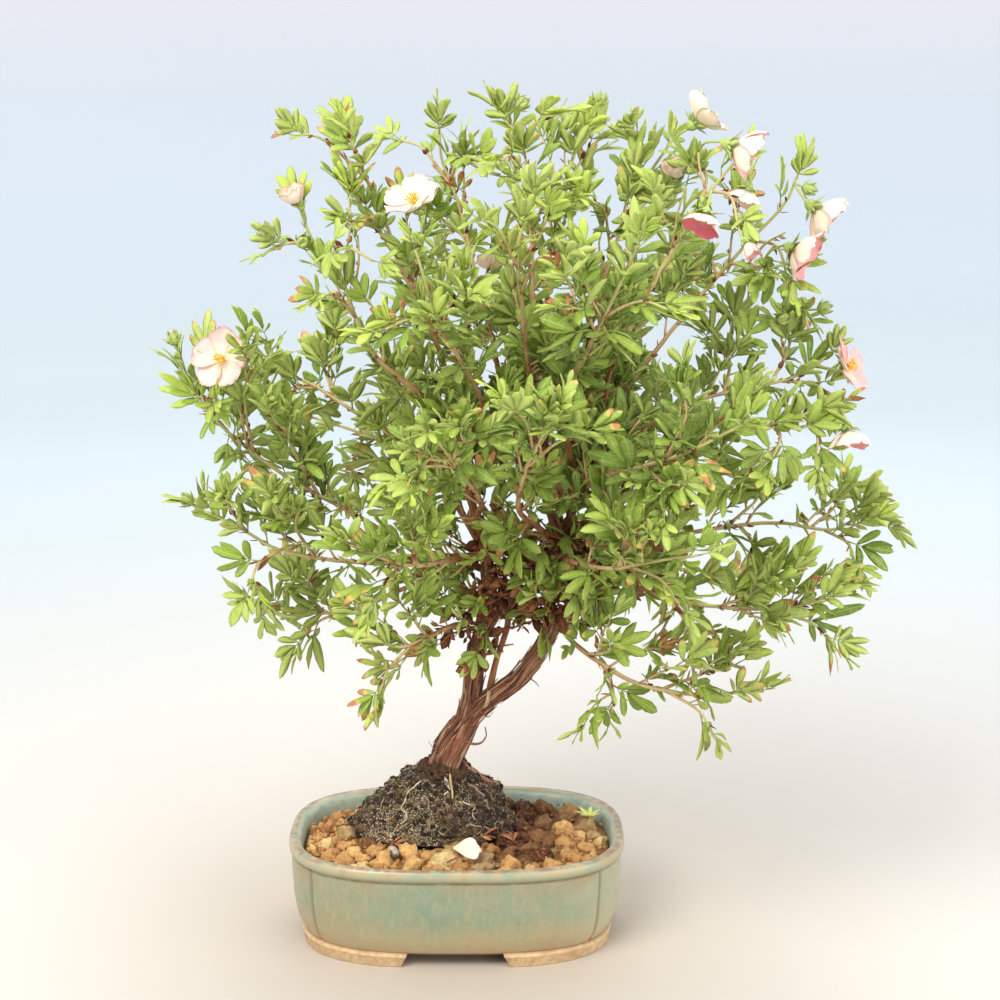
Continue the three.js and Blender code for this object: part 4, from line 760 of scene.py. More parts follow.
def glaze_look():
    """Tone is 1 on the rolled lip, across in the grooves, along on the lip's top edge, age inside."""
    look = Look("glaze", Coat_Weight=0.25, Coat_Roughness=0.16)
    height = look.axis("Z")
    clouds = look.plus(look.times(look.noise(0.028, 4), 0.55), look.times(look.noise(0.14, 6), 0.45))
    warm = look.plus(clouds, look.fit(height, 6, 27, 0.19, -0.03))
    warm = look.plus(warm, look.fit(look.axis("X"), -78, -35, 0.14, 0))
    base = look.ramp(warm, (0.36, (122, 140, 116)), (0.47, (133, 144, 116)), (0.56, (143, 145, 115)),
                     (0.66, (152, 145, 113)), (0.8, (148, 126, 92)))
    streaks = look.noise(0.5, 5, look.stretched(1, 1, 0.3), 0.6)
    base = look.mix(look.fit(streaks, 0.48, 0.7, 0, 0.45), base, (164, 162, 128))
    fine = look.fit(look.noise(1.6, 4), 0.56, 0.72)
    base = look.mix(look.times(fine, 0.65), base, (120, 100, 68))
    specks = look.fit(look.spots(0.8), 0.05, 0.13, 1, 0)
    base = look.mix(look.times(specks, 0.7), base, (192, 192, 164))
    base = look.mix(look.fit(height, 24, 9, 0, 0.6), base, (188, 164, 122))
    base = look.mix(look.fit(look.axis("X"), 48, 78, 0, 0.45), base, (196, 192, 158))
    wash = look.times(look.fit(height, 34, 43), look.fit(look.noise(0.06, 4), 0.4, 0.66))
    base = look.mix(look.times(wash, 0.6), base, (148, 122, 84))
    under = look.times(look.fit(height, 42.6, 43.4), look.fit(height, 44.6, 43.8))
    shaded = look.times(under, look.fit(look.noise(0.25, 3), 0.3, 0.55, 0.2, 0.8))
    base = look.mix(shaded, base, (112, 90, 62))
    rolled = look.ramp(look.noise(0.09, 5, distortion=0.5), (0.36, (146, 156, 130)),
                       (0.48, (168, 160, 126)), (0.6, (176, 156, 120)), (0.74, (150, 126, 96)))
    rolled = look.mix(look.fit(height, 48.2, 45.4, 0, 0.55), rolled, (150, 158, 130))
    base = look.mix(look.tone, base, rolled)
    inner = look.ramp(look.noise(0.3, 4), (0.35, (146, 170, 158)), (0.55, (172, 186, 168)),
                      (0.75, (188, 182, 156)))
    base = look.mix(look.age, base, inner)
    worn = look.fit(look.noise(0.16, 5, distortion=0.4), 0.4, 0.58, 0, 0.85)
    base = look.mix(look.times(look.along, worn), base, (126, 98, 80))
    base = look.mix(look.across, base, (118, 96, 66))
    base = look.mix(look.fit(height, 7.6, 6.7), base, (110, 82, 54))
    look.bump(look.noise(0.9, 4), 0.14, 0.5)
    look.bump(look.noise(0.12, 2), 0.5, 0.35)
    return look.done(base, look.fit(look.noise(0.8, 3), 0.3, 0.7, 0.28, 0.48))


def foot_look():
    """Bare clay of the feet and of the pot's floor, with dark specks."""
    look = Look("bare_clay", 0.8)
    base = look.ramp(look.noise(0.35, 5), (0.3, (196, 162, 116)), (0.5, (216, 186, 142)),
                     (0.7, (226, 200, 160)))
    base = look.mix(look.fit(look.noise(0.1, 4), 0.5, 0.68, 0, 0.5), base, (168, 130, 88))
    specks = look.fit(look.noise(1.3, 2), 0.64, 0.7)
    base = look.mix(look.times(specks, 0.6), base, (120, 82, 50))
    base = look.mix(look.fit(look.axis("Z"), 5.6, 6.8, 0, 0.6), base, (150, 110, 72))
    look.bump(look.noise(1.4, 4), 0.25, 0.6)
    return look.done(base)


def soil_look():
    look = Look("soil", 0.95)
    base = look.ramp(look.noise(0.3, 6), (0.3, (52, 36, 26)), (0.5, (86, 60, 42)), (0.7, (120, 90, 62)))
    look.bump(look.noise(0.5, 5), 0.8)
    return look.done(base)


def mound_look():
    """Dark peat with pale flecks and moss in patches, darker on its right."""
    look = Look("mound", 0.96)
    base = look.ramp(look.noise(0.3, 6, roughness=0.65), (0.32, (14, 9, 6)), (0.47, (50, 34, 22)),
                     (0.58, (98, 70, 46)), (0.74, (172, 134, 94)))
    moss = look.times(look.fit(look.noise(0.07, 3), 0.46, 0.56), look.fit(look.noise(0.7, 3), 0.4, 0.6))
    base = look.mix(look.times(moss, 0.45), base, (106, 98, 54))
    patch = look.fit(look.noise(0.05, 2), 0.44, 0.54, 0.25, 1)
    flecks = look.times(look.fit(look.noise(1.3, 4, roughness=0.7), 0.55, 0.61), patch)
    base = look.mix(look.times(flecks, 0.95), base, (226, 210, 180))
    shade = look.times(look.fit(look.axis("X"), -4, 12), look.fit(look.noise(0.12, 3), 0.35, 0.6, 0.4, 0.9))
    base = look.mix(shade, base, (30, 20, 14))
    look.bump(look.noise(0.6, 5), 0.9)
    look.bump(look.noise(2.2, 4), 0.3)
    return look.done(base)


def crumb_look():
    look = Look("crumb", 0.96)
    base = look.ramp(look.tone, (0, (18, 11, 8)), (0.45, (58, 38, 24)), (0.7, (114, 83, 52)),
                     (0.84, (172, 142, 104)), (0.95, (232, 220, 196)))
    base = look.mix(look.fit(look.noise(1.2, 4), 0.35, 0.7, 0, 0.7), base, (40, 28, 20))
    look.bump(look.noise(1.6, 4), 0.4)
    return look.done(base)


def grain_look():
    """Tone varies from grain to grain, and age is 1 where they are wet."""
    look = Look("grain", 0.94)
    base = look.ramp(look.tone, (0, (178, 108, 53)), (0.25, (226, 161, 90)), (0.6, (252, 197, 121)),
                     (0.9, (255, 232, 166)), (1, (172, 100, 60)))
    base = look.mix(look.fit(look.noise(0.3, 5, roughness=0.65), 0.42, 0.66, 0, 0.65), base, (166, 112, 66))
    base = look.mix(look.fit(look.noise(1.1, 5, roughness=0.7), 0.5, 0.68, 0, 0.7), base, (255, 226, 164))
    base = look.mix(look.fit(look.noise(1.9, 4, roughness=0.7), 0.62, 0.7, 0, 0.75), base, (96, 58, 32))
    wet = look.ramp(look.noise(0.6, 5, roughness=0.65), (0.3, (32, 17, 10)), (0.47, (80, 43, 24)),
                    (0.6, (146, 88, 50)), (0.75, (214, 156, 102)))
    base = look.mix(look.age, base, wet)
    look.bump(look.noise(0.8, 6, roughness=0.75), 1.5)
    look.bump(look.noise(2.6, 4), 0.3)
    return look.done(base)


def gravel_look():
    look = Look("gravel", 0.7)
    base = look.ramp(look.noise(0.5, 5), (0.3, (128, 124, 112)), (0.6, (176, 172, 158)),
                     (0.8, (206, 202, 190)))
    look.bump(look.noise(1.0, 4), 0.3)
    return look.done(base)


def fibre_look():
    look = Look("fibre", 0.8)
    base = look.ramp(look.tone, (0, (128, 96, 66)), (0.4, (188, 164, 130)), (0.8, (226, 212, 188)),
                     (1, (240, 232, 216)))
    base = look.mix(look.fit(look.noise(0.5, 3), 0.4, 0.7, 0, 0.5), base, (140, 106, 74))
    look.bump(look.noise(1.5, 3), 0.15)
    return look.done(base)


def moss_look():
    look = Look("moss", 0.9)
    base = look.ramp(look.tone, (0, (58, 62, 24)), (0.5, (100, 104, 42)), (1, (150, 150, 70)))
    base = look.mix(look.along, base, look.ramp(look.tone, (0, (96, 96, 40)), (1, (176, 172, 92))))
    look.bump(look.noise(1.5, 3), 0.1)
    return look.done(base)


def bark_look():
    """Bark with fibres that run along the stem. Age is 1 on old shreddy wood and 0 on smooth young
    wood; along runs from 0 on brown wood to 1 on green shoots, whose tone varies."""
    look = Look("bark", 0.85)
    fibres = look.noise(0.9, 6, look.stretched(1.0, 1.0, 0.06), 0.5, 0.65)
    strands = look.noise(2.6, 5, look.stretched(1.0, 1.0, 0.05), 0.8, 0.6)
    both = look.plus(look.times(fibres, 0.6), look.times(strands, 0.4))
    old = look.ramp(both, (0.37, (42, 21, 15)), (0.45, (101, 60, 43)), (0.5, (143, 94, 69)),
                    (0.55, (175, 123, 93)), (0.62, (222, 178, 144)))
    patches = look.times(look.fit(look.noise(0.07, 3), 0.48, 0.6), 0.6)
    red = look.ramp(both, (0.38, (92, 44, 30)), (0.52, (172, 94, 62)), (0.64, (208, 140, 102)))
    old = look.mix(patches, old, red)
    young = look.ramp(look.noise(0.5, 4, look.stretched(1, 1, 0.25)), (0.3, (134, 70, 38)),
                      (0.5, (184, 114, 68)), (0.7, (212, 156, 104)))
    base = look.mix(look.age, young, old)
    tan = look.ramp(look.noise(0.35, 4, look.stretched(1, 1, 0.3)), (0.32, (166, 112, 68)),
                    (0.46, (204, 170, 120)), (0.7, (214, 198, 146)))
    base = look.mix(look.fit(look.along, 0.0, 0.45), base, tan)
    green = look.ramp(look.tone, (0, (196, 178, 118)), (1, (178, 188, 114)))
    base = look.mix(look.fit(look.along, 0.5, 1.0), base, green)
    look.bump(look.times(both, look.fit(look.age, 0, 1, 0.2, 1)), 1.6)
    return look.done(base)


def flake_look():
    look = Look("bark_flake", 0.8)
    strands = look.noise(2.2, 5, look.stretched(1.0, 1.0, 0.06), 0.6, 0.6)
    base = look.ramp(look.tone, (0, (112, 66, 46)), (0.4, (164, 108, 78)), (0.7, (196, 144, 108)),
                     (1, (220, 184, 146)))
    base = look.mix(look.fit(strands, 0.42, 0.65, 0, 0.7), base, (96, 56, 40))
    look.bump(strands, 0.6)
    return look.done(base)


def leaf_colour(look, stops, patch, pale):
    """Tone from dark to light, pale veins and edges, and a dry tip that age lets grow over the leaf."""
    base = look.ramp(look.tone, *stops)
    base = look.mix(look.fit(look.noise(0.22, 4), 0.42, 0.7, 0, 0.5), base, patch)
    veins = look.noise(1.1, 3, look.stretched(1.1, 0.3, 1.0), 0.4)
    base = look.mix(look.fit(veins, 0.5, 0.68, 0, 0.22), base, pale)
    base = look.mix(look.fit(look.across, 0.02, 0.12, 0.4, 0), base, pale)
    base = look.mix(look.fit(look.across, 0.85, 1.0, 0, 0.75), base, pale)
    drying = look.plus(look.times(look.along, 0.75), look.times(look.noise(0.3, 4), 0.35))
    drying = look.plus(drying, look.fit(look.age, 0, 1, -1.0, 0.5))
    base = look.mix(look.fit(drying, 0.0, 0.1), base, (206, 186, 96))
    base = look.mix(look.fit(drying, 0.08, 0.18), base, (184, 126, 76))
    return look.mix(look.fit(drying, 0.36, 0.7), base, (150, 90, 54))


def leaf_look():
    look = Look("leaf_face", 0.6)
    stops = [(0, (94, 121, 24)), (0.28, (125, 152, 37)), (0.55, (147, 170, 56)), (0.78, (165, 182, 83)),
             (1, (180, 200, 76))]
    base = leaf_colour(look, stops, (128, 153, 58), (213, 214, 143))
    look.bump(look.noise(1.4, 4, look.stretched(1, 0.5, 1)), 0.18)
    return look.done(base)


def leaf_under_look():
    look = Look("leaf_under", 0.72)
    stops = [(0, (146, 164, 70)), (0.4, (170, 186, 90)), (0.8, (188, 200, 108)), (1, (196, 216, 86))]
    base = leaf_colour(look, stops, (160, 172, 82), (209, 212, 140))
    look.bump(look.noise(1.4, 4, look.stretched(1, 0.5, 1)), 0.18)
    return look.done(base)


def stalk_look():
    look = Look("leaf_stalk", 0.65)
    base = look.ramp(look.noise(0.3, 3), (0.3, (150, 150, 84)), (0.55, (168, 178, 100)),
                     (0.75, (186, 168, 110)))
    base = look.mix(look.age, base, (150, 96, 56))
    look.bump(look.noise(1.5, 3, look.stretched(1, 1, 0.2)), 0.1)
    return look.done(base)


def husk_look():
    look = Look("husk", 0.85)
    base = look.ramp(look.tone, (0, (92, 48, 28)), (0.4, (148, 84, 48)), (0.75, (190, 126, 78)),
                     (1, (214, 172, 118)))
    base = look.mix(look.fit(look.noise(0.9, 4), 0.4, 0.7, 0, 0.6), base, (70, 40, 26))
    look.bump(look.noise(1.2, 4), 0.25)
    return look.done(base)


def petal_look():
    """Tone is how pink the bloom is, along runs from the claw to the tip, age is 1 on the outer face."""
    look = Look("petal", 0.5, Sheen_Weight=0.25, Sheen_Roughness=0.4, Subsurface_Weight=0.12,
                Subsurface_Scale=0.002)
    tip = look.ramp(look.tone, (0, (250, 230, 208)), (0.3, (250, 214, 198)), (0.6, (246, 184, 180)),
                    (1, (230, 116, 128)))
    claw = look.ramp(look.tone, (0, (250, 238, 190)), (0.4, (252, 224, 186)), (1, (250, 208, 170)))
    uneven = look.times(look.calc("SUBTRACT", look.noise(0.35, 3), 0.5), 0.5)
    reach = look.plus(look.along, uneven)
    base = look.mix(look.fit(reach, 0.1, 0.55), claw, tip)
    edge = look.ramp(look.tone, (0, (250, 208, 188)), (0.5, (244, 160, 160)), (1, (214, 84, 98)))
    base = look.mix(look.fit(reach, 0.75, 1.1, 0, 0.45), base, edge)
    veins = look.noise(1.4, 2, look.stretched(0.25, 1.4, 1), 0.3)
    vein_colour = look.ramp(look.tone, (0, (246, 214, 188)), (1, (226, 118, 126)))
    base = look.mix(look.fit(veins, 0.5, 0.7, 0, 0.28), base, vein_colour)
    base = look.mix(look.times(look.age, 0.3), base, (250, 228, 208))
    look.bump(veins, 0.14)
    return look.done(base)


def stamen_look():
    look = Look("stamen", 0.6)
    base = look.ramp(look.tone, (0, (236, 206, 92)), (0.5, (244, 192, 48)), (1, (222, 150, 34)))
    base = look.mix(look.fit(look.noise(1.5, 3), 0.45, 0.7, 0, 0.5), base, (250, 222, 120))
    look.bump(look.noise(2.5, 3), 0.12)
    return look.done(base)


def sepal_look():
    look = Look("sepal", 0.65)
    base = look.ramp(look.noise(0.5, 4), (0.3, (140, 162, 80)), (0.55, (168, 184, 100)),
                     (0.75, (194, 198, 124)))
    base = look.mix(look.fit(look.along, 0.75, 1, 0, 0.5), base, (176, 140, 92))
    look.bump(look.noise(1.2, 3, look.stretched(0.4, 1, 1)), 0.15)
    return look.done(base)


def weed_look():
    look = Look("weed", 0.55)
    base = look.ramp(look.noise(0.4, 4), (0.3, (164, 180, 52)), (0.55, (196, 204, 72)),
                     (0.8, (222, 214, 108)))
    base = look.mix(look.fit(look.across, 0.05, 0.25, 0.5, 0), base, (226, 226, 150))
    look.bump(look.noise(1.2, 3), 0.15)
    return look.done(base)


def stage_look():
    """A pale backdrop by its height in the picture: warm below and light blue above, with painted light and
    shade in the ramp that make it darker and warmer towards the picture's lower edge.
    """
    look = Look("stage", 0.8)
    base = look.ramp(look.axis("Y"), (0, (176, 151, 130)), (0.08, (183, 165, 148)), (0.16, (192, 183, 171)),
                     (0.24, (200, 196, 189)), (0.32, (203, 201, 196)), (0.4, (199, 202, 200)),
                     (0.48, (199, 208, 210)), (0.56, (207, 220, 227)), (0.64, (216, 227, 232)),
                     (0.8, (214, 224, 233)), (0.9, (216, 223, 230)), (1, (226, 225, 230)))
    return look.done(base)


GLAZE = glaze_look()
BARE_CLAY = foot_look()
SOIL = soil_look()
MOUND = mound_look()
CRUMB = crumb_look()
GRAIN = grain_look()
GRAVEL = gravel_look()
FIBRE = fibre_look()
MOSS = moss_look()
BARK = bark_look()
FLAKE = flake_look()
LEAF = leaf_look()
LEAF_UNDER = leaf_under_look()
STALK = stalk_look()
HUSK = husk_look()
PETAL = petal_look()
STAMEN = stamen_look()
SEPAL = sepal_look()
WEED = weed_look()
STAGE = stage_look()


def bent(value):
    """A sine or cosine as the pot's rounded rectangle needs it."""
    return np.sign(value) * np.abs(value) ** (2 / POT_ROUNDNESS)


def pot_plan(angles, inset, z):
    x = (POT_HALF_LENGTH - inset) * bent(np.cos(angles))
    y = (POT_HALF_DEPTH - inset) * bent(np.sin(angles))
    return np.stack(np.broadcast_arrays(x, y, z), axis=-1)


def pot_angles():
    """Angles around the pot, closer together at the grooves."""
    grooves = np.radians(POT_GROOVES)
    near = [groove + GROOVE_WIDTH * GROOVE_STEPS for groove in grooves]
    clear = [a for a in around(POT_SIDES) if min(abs(a - grooves)) > 1.6 * GROOVE_WIDTH]
    return np.sort(np.concatenate([clear, *near]))


def make_pot():
    """The glazed wall with its lip and grooves as one closed band, then the floor and the feet."""
    skin = Skin()
    angles = pot_angles()
    away = np.min([np.abs(angles - groove) for groove in np.radians(POT_GROOVES)], axis=0)
    groove = np.clip(1 - away / GROOVE_WIDTH, 0, 1)
    inset, z = np.array(POT_PROFILE).T[:, :, None]
    ring = np.arange(len(z))[:, None]
    outer = ring < OUTER_RINGS
    walled = outer & (z > 6.2) & (z < 44.5)
    depth = GROOVE_DEPTH * np.sin(np.pi / 2 * np.minimum(1, 1.6 * groove)) * walled
    uneven = rough(pot_plan(angles, inset, z) / 14, 2, 5)
    points = pot_plan(angles, inset + depth + 0.22 * (1 - uneven), z)
    lip = outer * np.clip(z - LIP_HEIGHT, 0, 1)
    lip_edge = np.exp(-((z - LIP_TOP) / 0.6) ** 2) * (inset < 3.6)
    marks = marks_for(lip, 0.75 * groove * walled, lip_edge, ring >= OUTER_RINGS - 1)
    first = np.arange(len(angles))
    last = first + (len(z) - 1) * len(angles)
    closing = np.stack([last, np.roll(last, -1), np.roll(first, -1), first], axis=-1)
    skin.add(points, [(grid_faces(len(z), len(angles), True), 0), (closing, 0)], marks)
    add_pot_floor(skin)
    for flip_x in (1, -1):
        for flip_y in (1, -1):
            add_foot(skin, flip_x, flip_y)
    skin.piece("pot_glazed", [GLAZE, BARE_CLAY], "glaze", "pot")


def add_pot_floor(skin):
    """The floor of the pot in two halves, each around its drain hole."""
    rays = on_circle(around(FLOOR_SIDES))[:, :2]
    low, high = FLOOR
    for side in (1, -1):
        hub = np.array([side * DRAIN_SPACING / 2, 0])
        reach = np.full(FLOOR_SIDES, 200.0)
        for step in np.arange(1, 80, 0.25)[::-1]:
            x, y = (hub + step * rays).T
            outside = ~in_pot(x, y, FLOOR_INSET) | (x * side < 0)
            reach = np.where(outside, step, reach)
        outline = hub + reach[:, None] * rays
        drain = hub + DRAIN_RADIUS * rays
        rings = [np.column_stack([ring, np.full(FLOOR_SIDES, z)])
                 for ring, z in ((outline, low), (drain, low), (drain, high), (outline, high))]
        skin.add(rings, [(grid_faces(4, FLOOR_SIDES, True)[:, ::-1], 1)], NO_MARKS)


def add_foot(skin, flip_x, flip_y):
    """One foot under a corner: that of the corner behind on the right, or its mirror image."""
    inset, z = np.array(FOOT_SECTION, float).T
    gap_front = FOOT_GAP_FRONT - FOOT_SLANT * z
    gap_side = FOOT_GAP_SIDE - FOOT_SLANT * z
    low = np.arcsin((gap_side / (POT_HALF_DEPTH - inset)) ** (POT_ROUNDNESS / 2))
    high = np.arccos((gap_front / (POT_HALF_LENGTH - inset)) ** (POT_ROUNDNESS / 2))
    shares = np.linspace(0, 1, FOOT_STEPS)[:, None]
    points = pot_plan(low + (high - low) * shares, inset, z)
    points = points + 0.25 * rough(points / 9, 2, 8)[..., None] * [1, 1, 0]
    points = points * [flip_x, flip_y, 1]
    skin.add(points, solid_faces(FOOT_STEPS, len(z), 1, turned=flip_x * flip_y > 0), NO_MARKS)


def make_soil():
    skin = Skin()
    points = np.array([pot_plan(around(SOIL_SIDES), inset, z) for inset, z in SOIL_RINGS])
    points[-1, :, 2] += 0.1 * noise(points[-1] / 4)
    skin.add(points, solid_faces(len(points), SOIL_SIDES, 0), MIDDLE_TONE)
    skin.piece("soil_body", [SOIL], "soil", "soil_fill")


def mound_point(angles, level):
    """A point of the mound's skin; the level runs from 0 at its base to 5 at its top."""
    z, share = np.array(MOUND_PROFILE, float).T
    levels = np.arange(len(z))
    height = np.interp(level, levels, z)
    spread = np.interp(level, levels, share)
    lift = (height - z[0]) / (z[-1] - z[0])
    place = (np.asarray(angles) % (2 * np.pi)) / (2 * np.pi) * MOUND_SIDES
    lumps = np.array([[draw(11, row, side) for side in range(MOUND_SIDES)] for row in range(len(z))])
    row = np.clip(np.round(level).astype(int), 0, len(z) - 1)
    side = place.astype(int) % MOUND_SIDES
    share_on = place - np.floor(place)
    lump = lumps[row, side] * (1 - share_on) + lumps[row, (side + 1) % MOUND_SIDES] * share_on
    reach = spread * (1 + 0.12 * (lump - 0.5))
    x = MOUND_BASE[0] + (MOUND_TOP[0] - MOUND_BASE[0]) * lift + MOUND_RADII[0] * reach * np.cos(angles)
    y = MOUND_BASE[1] + (MOUND_TOP[1] - MOUND_BASE[1]) * lift + MOUND_RADII[1] * reach * np.sin(angles)
    points = np.stack([x, y, height], axis=-1)
    out = unit(np.stack([np.cos(angles), np.sin(angles), 0.5 + 0 * height], axis=-1))
    bulge = 1.9 * rough(points / 9, 2, 31) + 0.9 * rough(points / 2.6, 3, 32) - 0.4
    return points + out * bulge[..., None]


def around_trunk(number, rng):
    """Places of the crumbs that are heaped against the foot of the trunk."""
    turn = rng.uniform(0, 2 * np.pi, number)
    away = rng.uniform(7.2, 13, number)
    height = 84.2 - 0.74 * away + rng.uniform(-1.4, 0.8, number)
    return on_circle(turn, away, height) + [*TRUNK_FOOT, 0]


def make_mound():
    rng = np.random.default_rng(MOUND_SEED)
    make_peat()
    make_crumbs(rng)
    make_hair_roots(rng)
    make_moss(rng)


def make_peat():
    """The body of the mound, closed by three smaller rings on top."""
    sides, rows = 190, 64
    points = mound_point(*np.meshgrid(around(sides), np.linspace(1, 5, rows)))
    top = points[-1].mean(axis=0)
    caps = [points[-1] * (1 - share) + top * share + [0, 0, 1.2 * share] for share in (0.35, 0.7, 0.97)]
    whole = np.concatenate([points, caps])
    whole[rows:] += 0.7 * rough(whole[rows:] / 2.5, 2, 33)[..., None] * [0, 0, 1]
    skin = Skin()
    skin.add(whole, solid_faces(len(whole), sides, 0), MIDDLE_TONE)
    skin.piece("root_mound_peat", [MOUND], "mound", "root_mound")


def make_crumbs(rng):
    crumbs = Skin()
    for sizes, number, detail in (((0.9, 1.9), 420, 2), ((0.35, 0.9), 900, 1)):
        turn = rng.uniform(0, 2 * np.pi, number)
        place = mound_point(turn, rng.uniform(1.0, 5, number) ** 0.9)
        size = rng.uniform(*sizes, number)
        add_lumps(crumbs, place, size, detail, rng, marks_for(rng.beta(1.6, 2.4, number)), facets=4)
    heaped = around_trunk(200, rng)
    add_lumps(crumbs, heaped, rng.uniform(0.7, 2.1, len(heaped)), 2, rng, (0.58, 0, 0, 0), facets=4)
    crumbs.piece("root_mound_crumbs", [CRUMB], "mound")


def make_hair_roots(rng):
    """Pale roots that wander over the mound; most of them are as fine as hair."""
    fibres = Skin()
    steps = 9
    for number, radius, reach in HAIR_ROOTS:
        turn = rng.uniform(0, 2 * np.pi, number)
        level = rng.uniform(1.1, 4.9, number)
        paths = []
        heading = rng.uniform(0, 2 * np.pi, number)
        for step in range(steps):
            spot = mound_point(turn, level)
            out = unit(spot - np.array([MOUND_TOP[0], MOUND_TOP[1], 40]))
            loose = 0.9 * np.abs(rng.normal(size=(number, 1))) * (step in (0, steps - 1))
            paths.append(spot + out * (0.35 + loose))
            heading += rng.normal(0, 0.45, number)
            size = reach / steps * rng.uniform(0.7, 1.3, number)
            turn = turn + size * np.cos(heading) / 28
            level = np.clip(level + size * np.sin(heading) / 9, 0.8, 5)
        taper = np.linspace(1, 0.5, steps) * radius * rng.uniform(0.6, 1.3, (number, 1))
        tone = marks_for(rng.beta(1.3, 1.5, number))
        add_tubes(fibres, np.stack(paths, axis=1), taper, 4 if radius > 0.2 else 3, tone)
    for root in LARGE_ROOTS:
        add_large_root(fibres, *root)
    fibres.piece("root_mound_hair_roots", [FIBRE], "mound")


def add_large_root(skin, radius, tone, turn, level, end_turn, end_level):
    share = np.linspace(0, 1, 24)
    sway = 0.12 * rough(np.stack([5 * share, 0 * share, 0 * share + 9 * turn], axis=-1), 2, 61)
    path = mound_point(turn + (end_turn - turn) * share + sway, level + (end_level - level) * share)
    path = path + [0.35 * np.cos(turn), 0.35 * np.sin(turn), 0.2]
    radii = np.linspace(radius, 0.4 * radius, len(path)) * (1 + 0.2 * noise(path / 2, 64))
    add_tube(skin, path, radii, 7, (tone, 0, 0, 0))


def make_moss(rng):
    """Tufts of fine green blades in patches on the mound."""
    tries = 2600
    turn = rng.uniform(0, 2 * np.pi, tries)
    foot = mound_point(turn, rng.uniform(1.2, 5, tries))
    keep = rough(foot / 11, 2, 71) > 0.26
    foot, turn = foot[keep], turn[keep]
    number = len(foot)
    lean = unit(on_circle(turn, 1, 1.2) + rng.normal(0, 0.5, (number, 3)))
    height = rng.uniform(0.6, 1.9, (number, 1))
    paths = np.stack([foot - 0.2 * lean, foot + 0.5 * height * lean, foot + height * lean], axis=1)
    marks = marks_for(rng.uniform(0, 1, number), 0, rng.uniform(0, 1, number))
    moss = Skin()
    add_tubes(moss, paths, [0.28, 0.22, 0.04], 3, marks)
    moss.piece("root_mound_moss", [MOSS], "mound")


def in_pot(x, y, inset):
    """Whether places lie within the pot's plan, this far in from the rim."""
    share = (np.abs(x) / (POT_HALF_LENGTH - inset)) ** POT_ROUNDNESS
    return share + (np.abs(y) / (POT_HALF_DEPTH - inset)) ** POT_ROUNDNESS < 1


def mound_share(x, y):
    """0 in the middle of the mound's base and 1 at its edge."""
    return np.hypot((x - MOUND_BASE[0]) / MOUND_RADII[0], (y - MOUND_BASE[1]) / MOUND_RADII[1])


def wetness(x, y):
    """Damp grains lie around the right foot of the mound and along the back."""
    near = np.exp(-((x - 30) / 17) ** 2) * np.clip((y + 38) / 12, 0, 1)
    back = 0.5 * np.clip((y - 8) / 14, 0, 1) * np.clip((x - 8) / 12, 0, 1)
    rim = 0.5 * np.exp(-((mound_share(x, y) - 1) / 0.1) ** 2)
    return np.clip(1.1 * near + back + rim, 0, 1)


def make_grains():
    """The layer of grains on its bed, and one pale chip of gravel."""
    rng = np.random.default_rng(GRAINS_SEED)
    skin = Skin()
    add_large_grains(skin, rng)
    add_small_grains(skin, rng)
    add_grain_bed(skin)
    skin.piece("akadama_grains", [GRAIN], "grains", "grain_layer")
    pale = Skin()
    add_lumps(pale, [GRAVEL_PLACE], [3.0], 3, rng, MIDDLE_TONE)
    pale.piece("gravel_chip", [GRAVEL], "grains")


def packed_grains(rng):
    """Place and size of grains that lie side by side, the large ones first and more often on the right."""
    placed = np.zeros((0, 3))
    for low, high, tries, spacing in GRAIN_KINDS:
        for attempt in range(tries):
            x = rng.uniform(-POT_HALF_LENGTH, POT_HALF_LENGTH)
            y = rng.uniform(-POT_HALF_DEPTH, POT_HALF_DEPTH)
            size = rng.uniform(low, high)
            fit = 1 - 1.6 * abs((size - 1.5) / 6 - (0.42 + 0.34 * x / POT_HALF_LENGTH))
            if rng.random() > fit:
                continue
            if not in_pot(x, y, 7.6 + size) or mound_share(x, y) < 0.97:
                continue
            if np.any(np.hypot(placed[:, 0] - x, placed[:, 1] - y) < spacing * (placed[:, 2] + size)):
                continue
            placed = np.vstack([placed, [x, y, size]])
    return placed.T


def add_large_grains(skin, rng):
    """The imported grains, paler to the front and right, and dark where they are wet."""
    x, y, size = packed_grains(rng)
    z = GRAIN_LEVEL + 0.4 + 0.16 * size + rng.uniform(-0.8, 0.9, len(size))
    tone = rng.beta(2.0, 2.0, len(size)) + 0.16 * (x / POT_HALF_LENGTH) - 0.1 * (y / POT_HALF_DEPTH)
    wet = np.clip(wetness(x, y) + rng.normal(0, 0.16, len(size)), 0, 1)
    marks = marks_for(np.clip(tone, 0, 0.94), 0, 0, wet)
    places = np.stack([x, y, z], axis=-1)
    large = size > 2.15
    add_lumps(skin, places[large], size[large], 3, rng, marks[large], facets=12, bumps=0.34)
    add_lumps(skin, places[~large], size[~large], 2, rng, marks[~large], facets=9, bumps=0.24)


def add_small_grains(skin, rng):
    """Crumbs that lie on and between the grains."""
    tries = 900
    x = rng.uniform(-75, 75, tries)
    y = rng.uniform(-51, 51, tries)
    keep = in_pot(x, y, 8.6) & (mound_share(x, y) > 0.93)
    x, y = x[keep], y[keep]
    size = rng.uniform(0.4, 1.2, len(x))
    z = GRAIN_LEVEL + 0.9 + rng.uniform(0, 2.6, len(x))
    marks = marks_for(rng.beta(2, 2, len(x)), 0, 0, wetness(x, y))
    add_lumps(skin, np.stack([x, y, z], axis=-1), size, 1, rng, marks)


